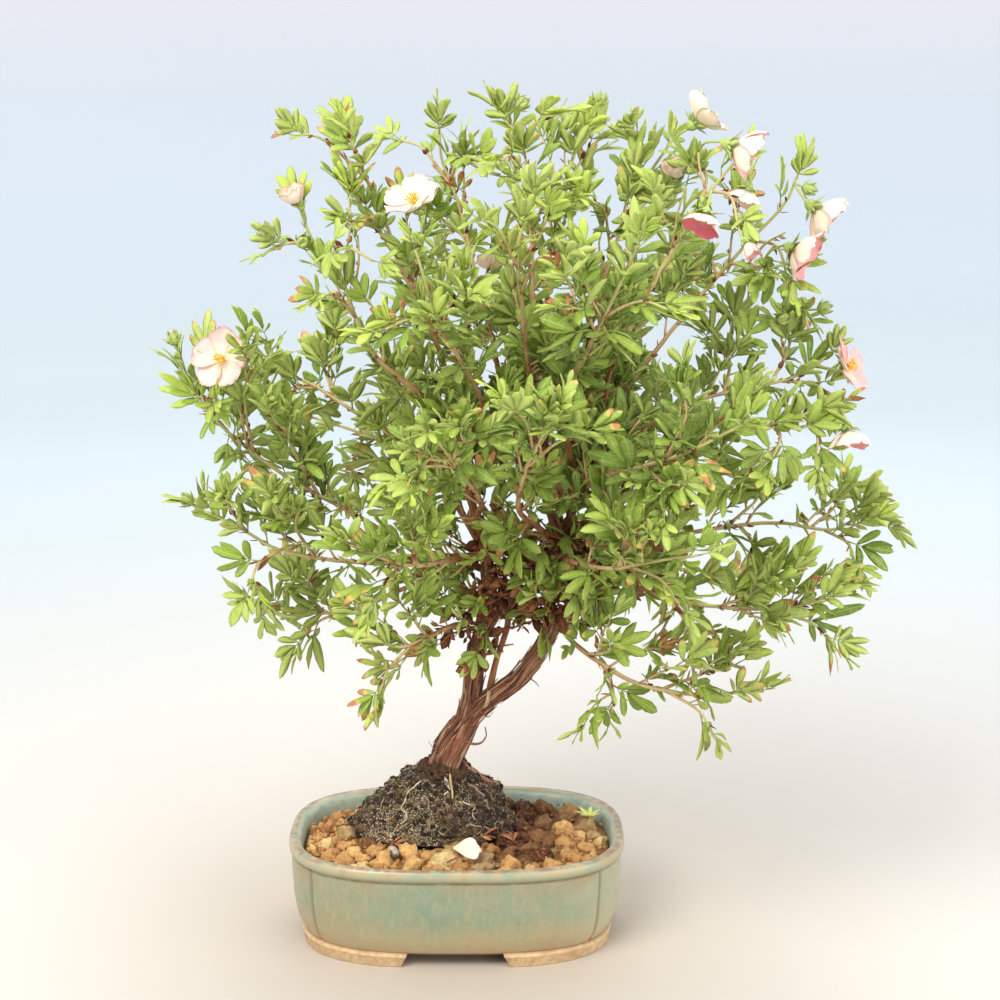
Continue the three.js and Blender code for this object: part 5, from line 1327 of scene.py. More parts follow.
def add_grain_bed(skin):
    """The dark body under the grains, down to the soil."""
    bed = np.array([pot_plan(around(BED_SIDES), inset, z) for inset, z in BED_RINGS])
    bed[2:, :, 2] += 0.9 * rough(bed[2:] / 3, 2, 66)
    marks = marks_for(0.1, 0, 0, 0.45 + 0.4 * wetness(bed[..., 0], bed[..., 1]))
    skin.add(bed, solid_faces(len(bed), BED_SIDES, 0), marks)


def petal_surface(length, half, belly, curl, seed):
    """Distance from the centre, offset across and lift of a broad petal, as grids."""
    shape = (PETAL_ROWS, PETAL_COLUMNS)
    t = np.linspace(0, 1, PETAL_ROWS)[:, None]
    u = np.linspace(-1, 1, PETAL_COLUMNS)[None]
    width = np.interp(t, PETAL_SHARES, PETAL_WIDTHS)
    across = half * width * u
    along = length * (t - 0.075 * u ** 2 * t ** 3)
    along = along + length * 0.035 * np.cos(3 * np.pi * u + seed) * t ** 8
    lift = -belly * np.sin(np.pi * np.minimum(1, t * 1.08)) * length
    lift = lift + 0.3 * half * (u ** 2) * width * (1 - 0.55 * t) + curl * t ** 4 * length
    wave = np.stack([np.broadcast_to(part, shape) for part in (3.2 * t, 2.2 * u, 7.3 * seed)], axis=-1)
    lift = lift + 0.085 * length * t ** 1.5 * noise(wave, 91)
    return along, across, lift, t, u


def add_petal(skin, start, axes, turn, lean, length, half, belly, curl, tilt, pink, seed):
    """A petal with an inner and an outer face; pink is how pink each of them is."""
    along, across, lift, t, u = petal_surface(length, half, belly, curl, seed)
    lift = lift + tilt * across
    layers = []
    for offset in (0, 1):
        rise = lift - 0.22 * offset * np.clip(1.3 - np.abs(u) ** 6, 0.3, 1)
        outward = along * np.sin(lean) - rise * np.cos(lean)
        height = along * np.cos(lean) + rise * np.sin(lean)
        x = outward * np.cos(turn) - across * np.sin(turn)
        y = outward * np.sin(turn) + across * np.cos(turn)
        layers.append(start + np.stack([x, y, height], axis=-1) @ axes)
    rows, columns = along.shape
    count = rows * columns
    faces = grid_faces(rows, columns, False)[:, ::-1]
    back = faces[:, ::-1] + count
    edge = np.concatenate([
        np.arange(columns - 1), np.arange(rows - 1) * columns + columns - 1,
        np.arange(columns - 1, 0, -1) + (rows - 1) * columns, np.arange(rows - 1, 0, -1) * columns])
    nearest = np.roll(edge, -1)
    rim = np.stack([nearest, edge, edge + count, nearest + count], axis=-1)
    marks = [marks_for(pink[side], np.abs(u), t, side) for side in (0, 1)]
    flat = np.stack([along, across, np.full_like(along, 13.7 * seed)], axis=-1)
    skin.add(layers, [(faces, 0), (back, 0), (rim, 0)], marks, [flat, flat])


def facing_axes(face):
    """The shortest turn from straight up to the way a bloom faces, as rows of directions."""
    z = unit(np.array(face, float))
    axis = np.cross([0, 0, 1.0], z)
    c = z[2]
    k = np.array([[0, -axis[2], axis[1]], [axis[2], 0, -axis[0]], [-axis[1], axis[0], 0]])
    return (np.eye(3) + k + k @ k / (1 + c)).T


def petal_lean(open_share):
    return np.radians(12 + 73 * open_share)


def add_scales(skin, foot, along, face, length, half, thick, marks, look=0, arch=0.0, rows=6):
    """A batch of small pointed scales with a curved face: sepals, stipules and the like."""
    foot, along, face = (np.atleast_2d(np.asarray(part, float)) for part in (foot, along, face))
    count = len(foot)
    x = unit(along)
    z = unit(face - np.sum(face * x, axis=-1, keepdims=True) * x)
    y = np.cross(z, x)
    t = np.linspace(0, 1, rows)
    width = np.sin(np.pi * np.clip(t, 0.04, 0.985) ** 0.75) ** 0.9
    length, half, thick = (np.broadcast_to(part, count) for part in (length, half, thick))
    points = []
    for row in range(rows):
        for u, lift in SCALE_SECTION:
            aside = u * half * width[row]
            rise = (lift * half if lift >= 0 else -thick) * width[row] + arch * length * t[row] ** 2
            points.append(foot + x * (length * t[row])[:, None] + y * aside[:, None] + z * rise[:, None])
    sides = len(SCALE_SECTION)
    marks = np.repeat(np.broadcast_to(np.asarray(marks, float), (count, 4)), rows * sides, axis=0)
    marks[:, 2] = np.tile(np.repeat(t, sides), count)
    skin.add(np.stack(points, axis=1), solid_faces(rows, sides, look, count, turned=True), marks)


def make_blooms():
    for index, (name, (carrier, at, face, size, opened, shows)) in enumerate(BLOOMS.items()):
        rng = np.random.default_rng(BLOOM_SEED + index)
        axes = facing_axes(face)
        at = np.array(at, float)
        lean = petal_lean(opened)
        skin = Skin()
        for i in range(PETAL_COUNT):
            own = lean + 0.16 * (draw(31, index, i) - 0.5)
            length = BLOOM_RADIUS * size * (1.04 + 0.12 * draw(32, index, i))
            half = length * (0.43 + 0.08 * rng.random()) * (0.8 + 0.2 * np.sin(lean))
            start = at + axes[2] * (0.25 + 0.12 * (i % 2))
            turn = i * 2 * np.pi / PETAL_COUNT
            add_petal(skin, start, axes, turn, own, length, half, 0.09 + 0.03 * rng.random(),
                      rng.uniform(-0.08, 0.05), 0.13 * np.sin(lean), BLOOM_PINKNESS[name], 7 * index + i)
        skin.piece(f"bloom_{name}_petals", [PETAL], "petal", f"bloom_{name}")
        if opened > 0.4:
            make_stamens(name, at, axes, size, opened, shows, rng)


def make_stamens(name, at, axes, size, opened, shows, rng):
    """A ring of stamens with their heads around a dome of pistils."""
    skin = Skin()
    count = 26
    turn = rng.uniform(0, 2 * np.pi, count)
    spread = rng.uniform(0.9, 3.3, count) * size * (0.45 + 0.55 * opened)
    rise = (4.6 - 0.35 * spread) * size * rng.uniform(0.75, 1.1, count)
    foot = on_circle(turn, 0.45 * spread, 0.4)
    tip = on_circle(turn, spread, rise)
    middle = (foot + tip) / 2 + [0, 0, 0.5]
    paths = at + np.stack([foot, middle, tip], axis=1) @ axes
    add_tubes(skin, paths, [0.16, 0.13, 0.12], 3, marks_for(rng.uniform(0, 0.4, count)))
    marks = marks_for(rng.uniform(0.3, 1, count))
    heads = rng.uniform(0.5, 0.72, count) * size
    add_lumps(skin, at + tip @ axes, heads, 1, rng, marks, facets=0, squash=0.7)
    pistils = 34
    dome = unit(rng.normal(size=(pistils, 3)) + [0, 0, 0.6]) * [1.35, 1.35, 1.2] * size
    dome[:, 2] = np.abs(dome[:, 2]) + 0.9
    marks = marks_for(rng.uniform(0, 0.5, pistils))
    add_lumps(skin, at + dome @ axes, np.full(pistils, 0.5 * size), 1, rng, marks, facets=0)
    replaced = [f"stamens_{name}"] if shows else []
    skin.piece(f"bloom_{name}_stamens", [STAMEN], "stamen", *replaced)


def wood_of(limb):
    """The points of a limb with the leafy shoot that continues it, and the share where wood ends."""
    wood = LIMBS[limb][2]
    grown = next((points for carrier, points, sides in SPRAYS.values() if carrier == limb), [])
    return wood + grown, (len(wood) - 1) / (len(wood) + len(grown) - 1)


def how_far_out(place):
    """0 in the middle of the crown and about 1 at its outer leaves."""
    return np.linalg.norm((place - CROWN_CENTRE) / CROWN_REACH, axis=-1)


def arc(start, middle, tip, count, step):
    """An evenly spaced path along a bow through three points."""
    return evenly(swept([start, middle, tip], count), step)


def shoots_of(name, rng):
    """Paths of the shoots of a spray, each with its start and end radius and its leafy length."""
    limb, points, sides = SPRAYS[name]
    whole, wood_end = wood_of(limb)
    main = evenly(curve(whole, np.linspace(wood_end, 1, 60)), 3.0)
    total = lengths_along(main)[-1]
    shoots = [(main, 1.2, 0.6, total + 16)]
    tips = [main[-1]]
    for share, tip in sides:
        t = wood_end + (1 - wood_end) * share
        start = curve(whole, [t])[0]
        tangent = unit(curve(whole, [min(1, t + 0.01)])[0] - start)
        tip = np.array(tip, float)
        reach = np.linalg.norm(tip - start)
        middle = (start + tip) / 2 + 0.15 * reach * tangent + [0, 0, 0.06 * reach]
        side = arc(start, middle, tip, 30, 3.0)
        shoots.append((side, 0.85, 0.5, 0.92 * lengths_along(side)[-1]))
        tips.append(tip)
    limit = max(np.linalg.norm(tip - CROWN_CENTRE) for tip in tips)
    crowded = 17 + 12 * np.clip(2 * how_far_out(main[-1]) - 1.3, 0, 1)
    for path, most in [(main, max(2, int(total / crowded)))] + [(shoot[0], 1) for shoot in shoots[1:]]:
        for number in range(most):
            place = (0.12 + 0.72 * (number + rng.random()) / most) * lengths_along(path)[-1]
            start, ahead = at_lengths(path, [place, place + 1])
            tangent = unit(ahead - start)
            out = unit(np.cross(tangent, rng.normal(size=3)))
            out = unit(out + [0, 0, 0.5])
            reach = rng.uniform(17, 34) * (1 if path is main else 0.75)
            tip = start + reach * unit(0.95 * tangent + 0.85 * out)
            tip = tip + [0, 0, 0.12 * reach]
            if np.linalg.norm(tip - CROWN_CENTRE) > 0.97 * limit:
                continue
            middle = (start + tip) / 2 + 0.12 * reach * out
            twig = arc(start, middle, tip, 14, 2.5)
            shoots.append((twig, 0.62, 0.42, 0.85 * lengths_along(twig)[-1]))
    return shoots + inner_twigs(limb, rng)


def leaflet_faces():
    """Top and under faces of a leaflet: its foot is point 0, then rows of five and a keel, then its tip."""
    first = 1 + 6 * np.arange(4)
    tip = LEAFLET_POINTS - 1
    top_quads, top_tris, under_quads, under_tris = [], [], [], []
    for a, b in zip(first[:-1], first[1:]):
        top_quads += [(a + j, b + j, b + j + 1, a + j + 1) for j in range(4)]
        under_quads += [(a, a + 5, b + 5, b), (a + 5, a + 4, b + 4, b + 5)]
    a, b = first[0], first[-1]
    top_tris += [(0, a + j, a + j + 1) for j in range(4)] + [(b + j, tip, b + j + 1) for j in range(4)]
    under_tris += [(0, a + 5, a), (0, a + 4, a + 5), (b, b + 5, tip), (b + 5, b + 4, tip)]
    return [np.array(part) for part in (top_quads, top_tris, under_quads, under_tris)]


LEAFLET_FACES = leaflet_faces()


def add_leaves(skin, at, forward, face, size, kind, tone, age, rng):
    """Compound leaves of one kind as one batch: their stalks and all their leaflets."""
    count = len(at)
    x = unit(forward)
    z = unit(face - np.sum(face * x, axis=-1, keepdims=True) * x)
    axes = np.stack([x, np.cross(z, x), z], axis=1)
    sag = rng.uniform(-0.004, 0.014, (count, 1))

    def placed(local):
        bent_down = local.copy()
        bent_down[..., 2] -= sag * local[..., 0] ** 2
        return at[:, None] + size[:, None, None] * bent_down @ axes

    end = LEAFLETS[kind][-1][0] + 0.6
    rib = np.array([[-0.6, 0, 0], [0.45 * end, 0, 0.12], [end, 0, 0]])
    ribs = placed(np.repeat(rib[None], count, axis=0))
    add_tubes(skin, ribs, STALK_RADII * size[:, None], 3, marks_for(tone, 0, 0, age), 2)
    for leaflet in LEAFLETS[kind]:
        local, blocks, marks, grain = leaflet_batch(leaflet, tone, age, rng)
        skin.add(placed(local), blocks, marks, grain)


def leaflet_batch(leaflet, tone, age, rng):
    """The same leaflet of many leaves: its points in each leaf's own axes, faces, marks and grain."""
    hub, angle, length, half = leaflet
    count = len(tone)
    length = length * rng.uniform(0.86, 1.12, (count, 1))
    half = half * rng.uniform(0.88, 1.12, (count, 1))
    angle = angle + rng.normal(0, 0.12, (count, 1))
    rise = rng.normal(0.16, 0.2, (count, 1)) + 0.12 * abs(angle)
    roll = rng.normal(0, 0.35, (count, 1))
    droop = rng.uniform(-0.1, 0.42, (count, 1))
    bend = rng.normal(0, 0.09, (count, 1))
    fold = rng.uniform(0.2, 0.7, (count, 1))
    t = np.concatenate([[0], np.repeat(LEAF_ROWS, 6), [1]])[None]
    u = np.concatenate([[0], np.tile(np.append(LEAF_COLUMNS, 0), 4), [0]])[None]
    w = np.concatenate([[0.1], np.repeat(LEAF_WIDTHS, 6), [0]])[None]
    keel = np.concatenate([[0], np.tile([0, 0, 0, 0, 0, 1.0], 4), [0]])[None]
    along = length * (t - 0.03 * u ** 2)
    aside = half * w * u + bend * length * t ** 2
    lift = half * w * (fold * np.abs(u) - 0.72 * fold * np.abs(u) ** 3) - 0.3 * keel
    lift = lift + length * (np.tan(rise) * t - droop * t ** 2)
    lift = lift + 0.2 * half * u * np.sin(7 * t + rng.uniform(0, ROUND_TURN, (count, 1)))
    aside, lift = aside - roll * lift * 0.5, lift + roll * aside
    cos, sin = np.cos(angle), np.sin(angle)
    local = np.stack([hub + along * cos - aside * sin, along * sin + aside * cos, lift], axis=-1)
    base = (np.arange(count) * LEAFLET_POINTS)[:, None, None]
    blocks = [((part[None] + base).reshape(-1, part.shape[1]), look)
              for part, look in zip(LEAFLET_FACES, (0, 0, 1, 1))]
    own_age = np.clip(age[:, None] * rng.uniform(0.5, 1.25, (count, 1)), 0, 1)
    own_tone = np.clip(tone[:, None] + rng.normal(0, 0.05, (count, 1)), 0, 1)
    marks = marks_for(own_tone, np.abs(u) * (1 - keel), t, own_age)
    shift = rng.uniform(-60, 60, (count, 1))
    grain = np.stack(np.broadcast_arrays(along + shift, aside, shift), axis=-1)
    return local, blocks, marks, grain


def in_the_way(points, name):
    """Whether points lie in a bloom or between it and the viewer."""
    carrier, at, face, size, opened, shows = BLOOMS[name]
    centre = np.array(at, float) + unit(np.array(face, float)) * 3.5 * size
    inner = np.linalg.norm(points - centre, axis=-1) < 9.5 * size
    sight = unit(VIEWER - centre)
    offset = points - centre
    ahead = offset @ sight
    beside = np.linalg.norm(offset - ahead[..., None] * sight, axis=-1)
    return inner | ((ahead > 0) & (beside < BLOOM_RADIUS * BLOOM_ROOM.get(name, 0.8) * size))


def inner_twigs(limb, rng):
    """Short side twigs on the woody part of a limb, where the crown is dense."""
    whole, wood_end = wood_of(limb)
    path = evenly(curve(whole, np.linspace(0, wood_end, 60)), 2.0)
    total = lengths_along(path)[-1]
    twigs = []
    for place in np.arange(8, total, 8.5):
        place = min(total, place + rng.uniform(-3, 3))
        start, ahead = at_lengths(path, [place - 1, place])
        if rng.random() < 2.2 * how_far_out(start) - 0.75:
            continue
        tangent = unit(ahead - start)
        out = unit(np.cross(tangent, rng.normal(size=3)))
        outward = unit((start - CROWN_CENTRE) * [1, 1, 0.3])
        reach = rng.uniform(12, 30)
        heading = unit(0.6 * tangent + 0.8 * out + 0.45 * outward + [0, 0, 0.15])
        tip = start + reach * heading + [0, 0, 0.1 * reach]
        middle = (start + tip) / 2 + 0.12 * reach * out
        twig = arc(start, middle, tip, 12, 2.5)
        twigs.append((twig, 0.6, 0.42, 0.8 * lengths_along(twig)[-1]))
    return twigs


def near_spot(place, spot, reach):
    """1 at a spot of the front view, given by its x and z, and falling to 0 around it."""
    return np.exp(-((place[0] - spot[0]) / reach[0]) ** 2 - ((place[2] - spot[1]) / reach[1]) ** 2)


def opening(place):
    """How bare the crown is at a place: the tops of the stems show through it from the front."""
    aside, height = (place[0] - 27) / 20, (place[2] - 157) / 21
    crotch = 0.72 * np.exp(-aside ** 2 - height ** 2) * np.clip((place[1] + 45) / 20, 0, 1)
    below = np.clip((142 - place[2]) / 8, 0, 1) * (abs(place[0] - 8) < 24)
    aside, height = (place[0] - 22) / 30, (place[2] - 188) / 36
    heart = 0.42 * np.exp(-aside ** 2 - height ** 2) * np.clip((place[1] + 85) / 20, 0, 1)
    heart = heart * (place[1] < 25)
    bare = max(0.62 * near_spot(place, spot, reach) for spot, reach in THIN_SPOTS)
    return max(crotch, heart, bare, 0.9 * below)


def shading(place):
    """How much lighter the leaves are at a place, as painted light and shade on their tone: lighter by the
    dry spot, darker in the shady spot.
    """
    return 0.2 * near_spot(place, *DRY_AND_PAINTED_LIGHT_SPOT) - 0.48 * near_spot(place, *SHADY_SPOT)


def dryness(place):
    """How many leaves are dried up at a place: most of them hang in the shaded heart of the crown."""
    return 0.17 * near_spot(place, *DRY_AND_PAINTED_LIGHT_SPOT)


def leaf_nodes(path, leafy, rng):
    """Places of leaves down a shoot from its tip, with how far each is from the tip."""
    total = lengths_along(path)[-1]
    most = 40
    steps = rng.uniform(0.8, 1.2, most) * np.minimum(5.5 + 1.1 * np.arange(most), 10.0)
    gaps = np.concatenate([[0.0], np.cumsum(steps)])
    gaps = gaps[gaps < min(leafy, total)]
    places = total - gaps
    at = at_lengths(path, places)
    tangent = unit(at - at_lengths(path, places - 1.5))
    return at, tangent, gaps


def one_leaf(foot, along, gap, turn, extra, rng):
    """A leaf as a row: foot, direction, face, size, tone, age and kind. Extra ones are small."""
    away = how_far_out(foot)
    azimuth = turn + extra * rng.uniform(0.8, 1.6)
    across = unit(np.cross(along, [0.3, -0.2, 1.0]))
    out = np.cos(azimuth) * across + np.sin(azimuth) * np.cross(along, across)
    splay = (0.3 + 0.8 * min(1, gap / 34)) * rng.uniform(0.75, 1.25) if gap > 0 else 0.12
    forward = unit(np.cos(splay) * along + np.sin(splay) * out + [0, 0, 0.22])
    outward = unit(foot - CROWN_CENTRE)
    face = 0.7 * along - 0.5 * out + [0, 0, 0.9] + 0.35 * outward + rng.normal(0, 0.25, 3)
    size = (0.8 + 0.2 * min(1, gap / 12)) * rng.uniform(0.85, 1.12) * (0.68 if extra else 1)
    young = max(0, 1 - gap / 16)
    # the tone carries the painted light and shade of shading()
    tone = np.clip(rng.normal(0.36, 0.19) + 0.28 * young + 0.3 * (away - 0.7) + shading(foot), 0, 1)
    low_down = np.clip((235 - foot[2]) / 90, 0, 1)
    spotted = rng.random() < 0.1 + 0.45 * low_down
    age = rng.uniform(0.08, 0.27) if spotted else 0.07 * rng.random()
    if rng.random() < 0.006 + 0.02 * low_down + 0.04 * max(0, 0.6 - away) + dryness(foot):
        age = rng.uniform(0.4, 1.0)
        size *= 0.66
    kind = 3 if extra or rng.random() < 0.16 else (7 if rng.random() < 0.12 else 5)
    return (*foot, *forward, *face, size, tone, age, kind)


def leaves_of(shoots, rng):
    """All leaves of a spray as rows, without those that would hide a bloom."""
    rows = []
    for path, thick, thin, leafy in shoots:
        at, tangent, gaps = leaf_nodes(path, leafy, rng)
        turn = rng.uniform(0, 2 * np.pi)
        for foot, along, gap in zip(at, tangent, gaps):
            turn += NEXT_LEAF + rng.normal(0, 0.3)
            away = how_far_out(foot)
            if gap > 8 and rng.random() < 0.42 * np.clip((foot[2] - 285) / 60, 0, 1):
                continue
            if gap > 22 and rng.random() < 0.1 + 0.25 * away:
                continue
            if rng.random() < opening(foot):
                continue
            fuller = max(near_spot(foot, *spot) for spot in FULL_SPOTS)
            count = 1 + int(gap > 5 and rng.random() < 0.44 - 0.42 * away + fuller)
            count += int(rng.random() < 0.8 * fuller)
            for extra in range(count):
                rows.append(one_leaf(foot, along, gap, turn, extra, rng))
    table = np.array(rows)
    middle = table[:, 0:3] + 11 * table[:, 9:10] * table[:, 3:6]
    tip = table[:, 0:3] + 20 * table[:, 9:10] * table[:, 3:6]
    hidden = np.zeros(len(table), bool)
    for bloom in BLOOMS:
        hidden |= in_the_way(middle, bloom) | in_the_way(tip, bloom)
    return table[~hidden]


def nearest_on(shoots, place):
    """The point of some shoots that lies nearest to a place."""
    options = np.vstack([path for path, thick, thin, leafy in shoots])
    return options[np.argmin(np.linalg.norm(options - place, axis=-1))]


def add_bloom_stalks(skin, name, shoots, rng):
    """Stalks, calyxes and green buds of a spray."""
    for carrier, at, face, size, opened, shows in BLOOMS.values():
        if carrier == name:
            axes = facing_axes(face)
            foot = np.array(at) - axes[2] * 4.2 * size
            add_stalk(skin, nearest_on(shoots, foot - 6 * axes[2]), foot, axes[2], 0.62)
            add_cup(skin, np.array(at), axes, size, petal_lean(opened), rng)
    for carrier, at in BUDS:
        if carrier == name:
            at = np.array(at, float)
            start = nearest_on(shoots, at)
            up = unit(at - start + [0, 0, 0.3])
            add_stalk(skin, start, at - 2.6 * up, up, 0.5)
            add_bud(skin, at, facing_axes(up), rng)


def add_stalk(skin, start, foot, facing, radius):
    reach = np.linalg.norm(foot - start)
    middle = (start + foot) / 2 - 0.12 * reach * facing + [0, 0, 0.05 * reach]
    path = swept([start, middle, foot, foot + 1.6 * facing], 12)
    add_tube(skin, path, np.linspace(radius, 0.85 * radius, len(path)), 5, (0.6, 0, 0, 0), 2)


def add_cup(skin, at, axes, size, lean, rng):
    """The calyx under a bloom, with broad and narrow sepals in turn."""
    add_turned(skin, at, axes, np.array(CUP_RINGS) * size, 12)
    for i in range(SEPAL_COUNT):
        turn = (i + 0.5) * 2 * np.pi / SEPAL_COUNT
        outward = np.cos(turn) * axes[0] + np.sin(turn) * axes[1]
        bend = lean + rng.uniform(0.1, 0.35)
        along = np.sin(bend) * outward + np.cos(bend) * axes[2]
        face = np.cross(along, np.cross(axes[2], outward))
        foot = at - axes[2] * 1.5 * size + outward * 1.6 * size
        length, half = (5.0, 0.95) if i % 2 else (6.6, 1.9)
        arch = rng.uniform(-0.15, 0.05)
        add_scales(skin, foot, along, face, length * size, half * size, 0.3, MIDDLE_TONE, 3, arch)


def add_bud(skin, at, axes, rng):
    """A closed green bud in its sepals."""
    add_turned(skin, at, axes, BUD_RINGS, 12)
    for i in range(SEPAL_COUNT):
        turn = i * 2 * np.pi / SEPAL_COUNT + rng.uniform(-0.1, 0.1)
        outward = np.cos(turn) * axes[0] + np.sin(turn) * axes[1]
        lean, length, half, arch = (0.9, 4.6, 0.8, 0.1) if i % 2 else (0.35, 5.8, 1.8, 0.35)
        along = unit(axes[2] + lean * outward)
        foot = at - axes[2] * 1.9 + outward * 2.2
        add_scales(skin, foot, along, -outward, length, half, 0.4, MIDDLE_TONE, 3, arch)


def add_turned(skin, at, axes, rings, sides):
    """A green body turned about its axis."""
    local = np.array([on_circle(around(sides), radius, z) for z, radius in rings])
    marks = marks_for(0.5, 0, np.repeat(np.linspace(0, 0.6, len(rings)), sides))
    skin.add(at + local @ axes, solid_faces(len(rings), sides, 3), marks)


def make_sprays():
    for index, name in enumerate(SPRAYS):
        rng = np.random.default_rng(SPRAY_SEED + index)
        shoots = shoots_of(name, rng)
        skin = add_leafage(shoots, rng)
        add_bloom_stalks(skin, name, shoots, rng)
        skin.piece(f"spray_{name}_leaves", [LEAF, LEAF_UNDER, STALK, SEPAL], "foliage", f"spray_{name}")
        twigs = add_twigs(shoots, rng, 1.0)
        add_husks(twigs, shoots, rng)
        twigs.piece(f"spray_{name}_twigs", [BARK, HUSK], "bark", f"spray_{name}")


def add_leafage(shoots, rng):
    """The leaves of shoots, kind by kind."""
    table = leaves_of(shoots, rng)
    skin = Skin()
    for kind in LEAFLETS:
        rows = table[table[:, 12] == kind]
        if len(rows):
            foot, forward, face = rows[:, 0:3], rows[:, 3:6], rows[:, 6:9]
            size, tone, age = rows[:, 9:12].T
            add_leaves(skin, foot, forward, face, size, kind, tone, age, rng)
    return skin


def add_twigs(shoots, rng, fresh):
    """Thin shoots; fresh is 1 where they turn green to the tip and 0 on old bare wood."""
    twigs = Skin()
    for path, thick, thin, leafy in shoots:
        share = np.linspace(0, 1, len(path))
        radii = thick + (thin - thick) * share + 0.08 * noise(path / 2.2, 41)
        shift = 0.22 * wander(path, 7, 42)
        shift[0] = 0
        green = np.clip(0.3 + 0.9 * share, 0, 1) if thick < 1 else np.clip(0.1 + 1.1 * share, 0, 1)
        marks = marks_for(rng.random(), 0, fresh * green, 0.35 * (1 - share) if fresh else 0.3)
        add_tube(twigs, path + shift, radii, 6, np.repeat(marks, 6, axis=0))
    return twigs


def make_thicket():
    """Short old twigs that crowd the tops of the stems, with dry remains and a few leaves."""
    rng = np.random.default_rng(THICKET_SEED)
    shoots, bare = [], []
    for name, lowest, number in THICKET:
        path, radii = limb_surface(name, 1.0)
        spots = path[path[:, 2] > lowest]
        for twig in range(number):
            start = spots[rng.integers(len(spots))]
            heading = unit(rng.normal(size=3) * [1, 0.8, 0.7] + [0.1, 0, 0.5])
            reach = rng.uniform(13, 34)
            bow = 0.2 * reach * unit(rng.normal(size=3))
            tip = start + reach * heading
            twig_path = arc(start, (start + tip) / 2 + bow, tip, 16, 2.0)
            carries = rng.random() < 0.55
            (shoots if carries else bare).append((twig_path, 0.75, 0.4, 0.6 * reach if carries else 0))
            for fork in range(rng.integers(1, 4)):
                foot = twig_path[rng.integers(2, len(twig_path) - 1)]
                end = foot + rng.uniform(6, 15) * unit(heading + rng.normal(size=3))
                middle = (foot + end) / 2 + rng.normal(size=3)
                bare.append((arc(foot, middle, end, 9, 2.2), 0.45, 0.25, 0))
    skin = add_leafage(shoots, rng)
    skin.piece("thicket_leaves", [LEAF, LEAF_UNDER, STALK], "foliage")
    twigs = add_twigs(shoots + bare, rng, 0.0)
    add_husks(twigs, shoots + bare, rng)
    add_remains(twigs, shoots + bare, rng)
    twigs.piece("thicket_twigs", [BARK, HUSK], "bark")


def add_remains(skin, shoots, rng):
    """Dry, curled leaf remains that hang on twigs."""
    for path, thick, thin, leafy in shoots:
        count = max(1, int(lengths_along(path)[-1] / 7))
        foot = at_lengths(path, rng.uniform(0.2, 1, count) * lengths_along(path)[-1])
        along = rng.normal(size=(count, 3)) * [1, 1, 0.6] + [0, 0, -0.6]
        marks = marks_for(rng.beta(1.4, 1.6, count))
        face = rng.normal(size=(count, 3))
        length = rng.uniform(3.5, 8.5, count)
        half = rng.uniform(1.3, 3.2, count)
        add_scales(skin, foot, along, face, length, half, 0.3, marks, 1, rng.uniform(-0.5, 0.5), rows=5)


def add_husks(skin, shoots, rng):
    """Papery stipules around the nodes, and dry brown bits on the older wood."""
    for path, thick, thin, leafy in shoots:
        total = lengths_along(path)[-1]
        count = max(2, int(total / 6.5))
        places = rng.uniform(0, 0.92 * total, count)
        foot = at_lengths(path, places)
        tangent = unit(at_lengths(path, places + 1) - foot)
        out = unit(np.cross(tangent, rng.normal(size=(count, 3))))
        along = tangent * rng.uniform(0.5, 1.2, (count, 1)) + out * rng.uniform(0.3, 1.0, (count, 1))
        marks = marks_for(rng.random(count))
        length = rng.uniform(2.4, 5.0, count)
        half = rng.uniform(0.6, 1.4, count)
        add_scales(skin, foot + 0.4 * out, along, -out, length, half, 0.25, marks, 1, 0.12, rows=4)


def limb_surface(name, step):
    """A thick limb: its path and its radius along it. The stems run down the trunk as two fused strands."""
    start, end, points = LIMBS[name]
    whole, wood_end = wood_of(name)
    path = evenly(curve(whole, np.linspace(0, wood_end, 160)), step)
    share = np.linspace(0, 1, len(path))
    radii = start + (end - start) * share
    if name == "trunk":
        radii = 0.9 * radii * (1 - 0.45 * np.clip(4 * share - 3, 0, 1) ** 2)
    if name in STRANDS:
        strand = STRANDS[name]
        course = curve(strand + points[:2], np.linspace(0, len(strand) / (len(strand) + 1), 60))
        lead = evenly(course, step)[:-1]
        path = np.concatenate([lead, path])
        radii = np.concatenate([np.linspace(start - 0.2, start, len(lead)), 0.93 * radii])
    return path, radii


def rings_around(path):
    """The two cross directions at each point of a path."""
    tangents, side, up = frames_along(path[None])
    return side[0], up[0]


def add_limb(skin, name, sides, step, age, relief):
    """A limb with lumps, ridges and strands of bark that run along it."""
    path, radii = limb_surface(name, step)
    side, up = rings_around(path)
    angle = around(sides)
    seed = sum(map(ord, name)) % 97
    unrolled = on_circle(angle, radii[:, None], lengths_along(path)[:, None])
    lumps = 0.13 * radii[:, None] * rough(unrolled / np.array([4.5, 4.5, 13]), 2, seed)
    ridges = relief * np.abs(rough(unrolled / np.array([1.5, 1.5, 15]), 3, seed + 5)) * 1.2
    strands = 0.45 * relief * rough(unrolled / np.array([0.7, 0.7, 9]), 2, seed + 9)
    reach = radii[:, None] + lumps + ridges + strands - 0.35 * relief
    out = np.cos(angle)[None, :, None] * side[:, None] + np.sin(angle)[None, :, None] * up[:, None]
    points = path[:, None] + reach[..., None] * out
    skin.add(points, solid_faces(len(path), sides, 0), (0.5, 0, 0, age), unrolled + [0, 0, 31 * seed])


def make_wood():
    """Trunk, stems, branches and surface roots, then the bark that peels from them."""
    rng = np.random.default_rng(WOOD_SEED)
    skin = Skin()
    for name, (start, end, points) in LIMBS.items():
        if name in THICK_LIMBS:
            sides, relief = THICK_LIMBS[name]
            add_limb(skin, name, sides, 0.9, 1.0, relief)
        elif start > THICK_STEM:
            add_limb(skin, name, 12, 1.8, 0.62, 0.16)
        else:
            add_limb(skin, name, 9, 1.8, 0.4, 0.16)
    for number, root in enumerate(ROOTS):
        add_surface_root(skin, number == 0, *root)
    add_burrs(skin)
    skin.piece("trunk_and_stems", [BARK], "bark", "trunk_and_branches")
    make_flakes(rng)


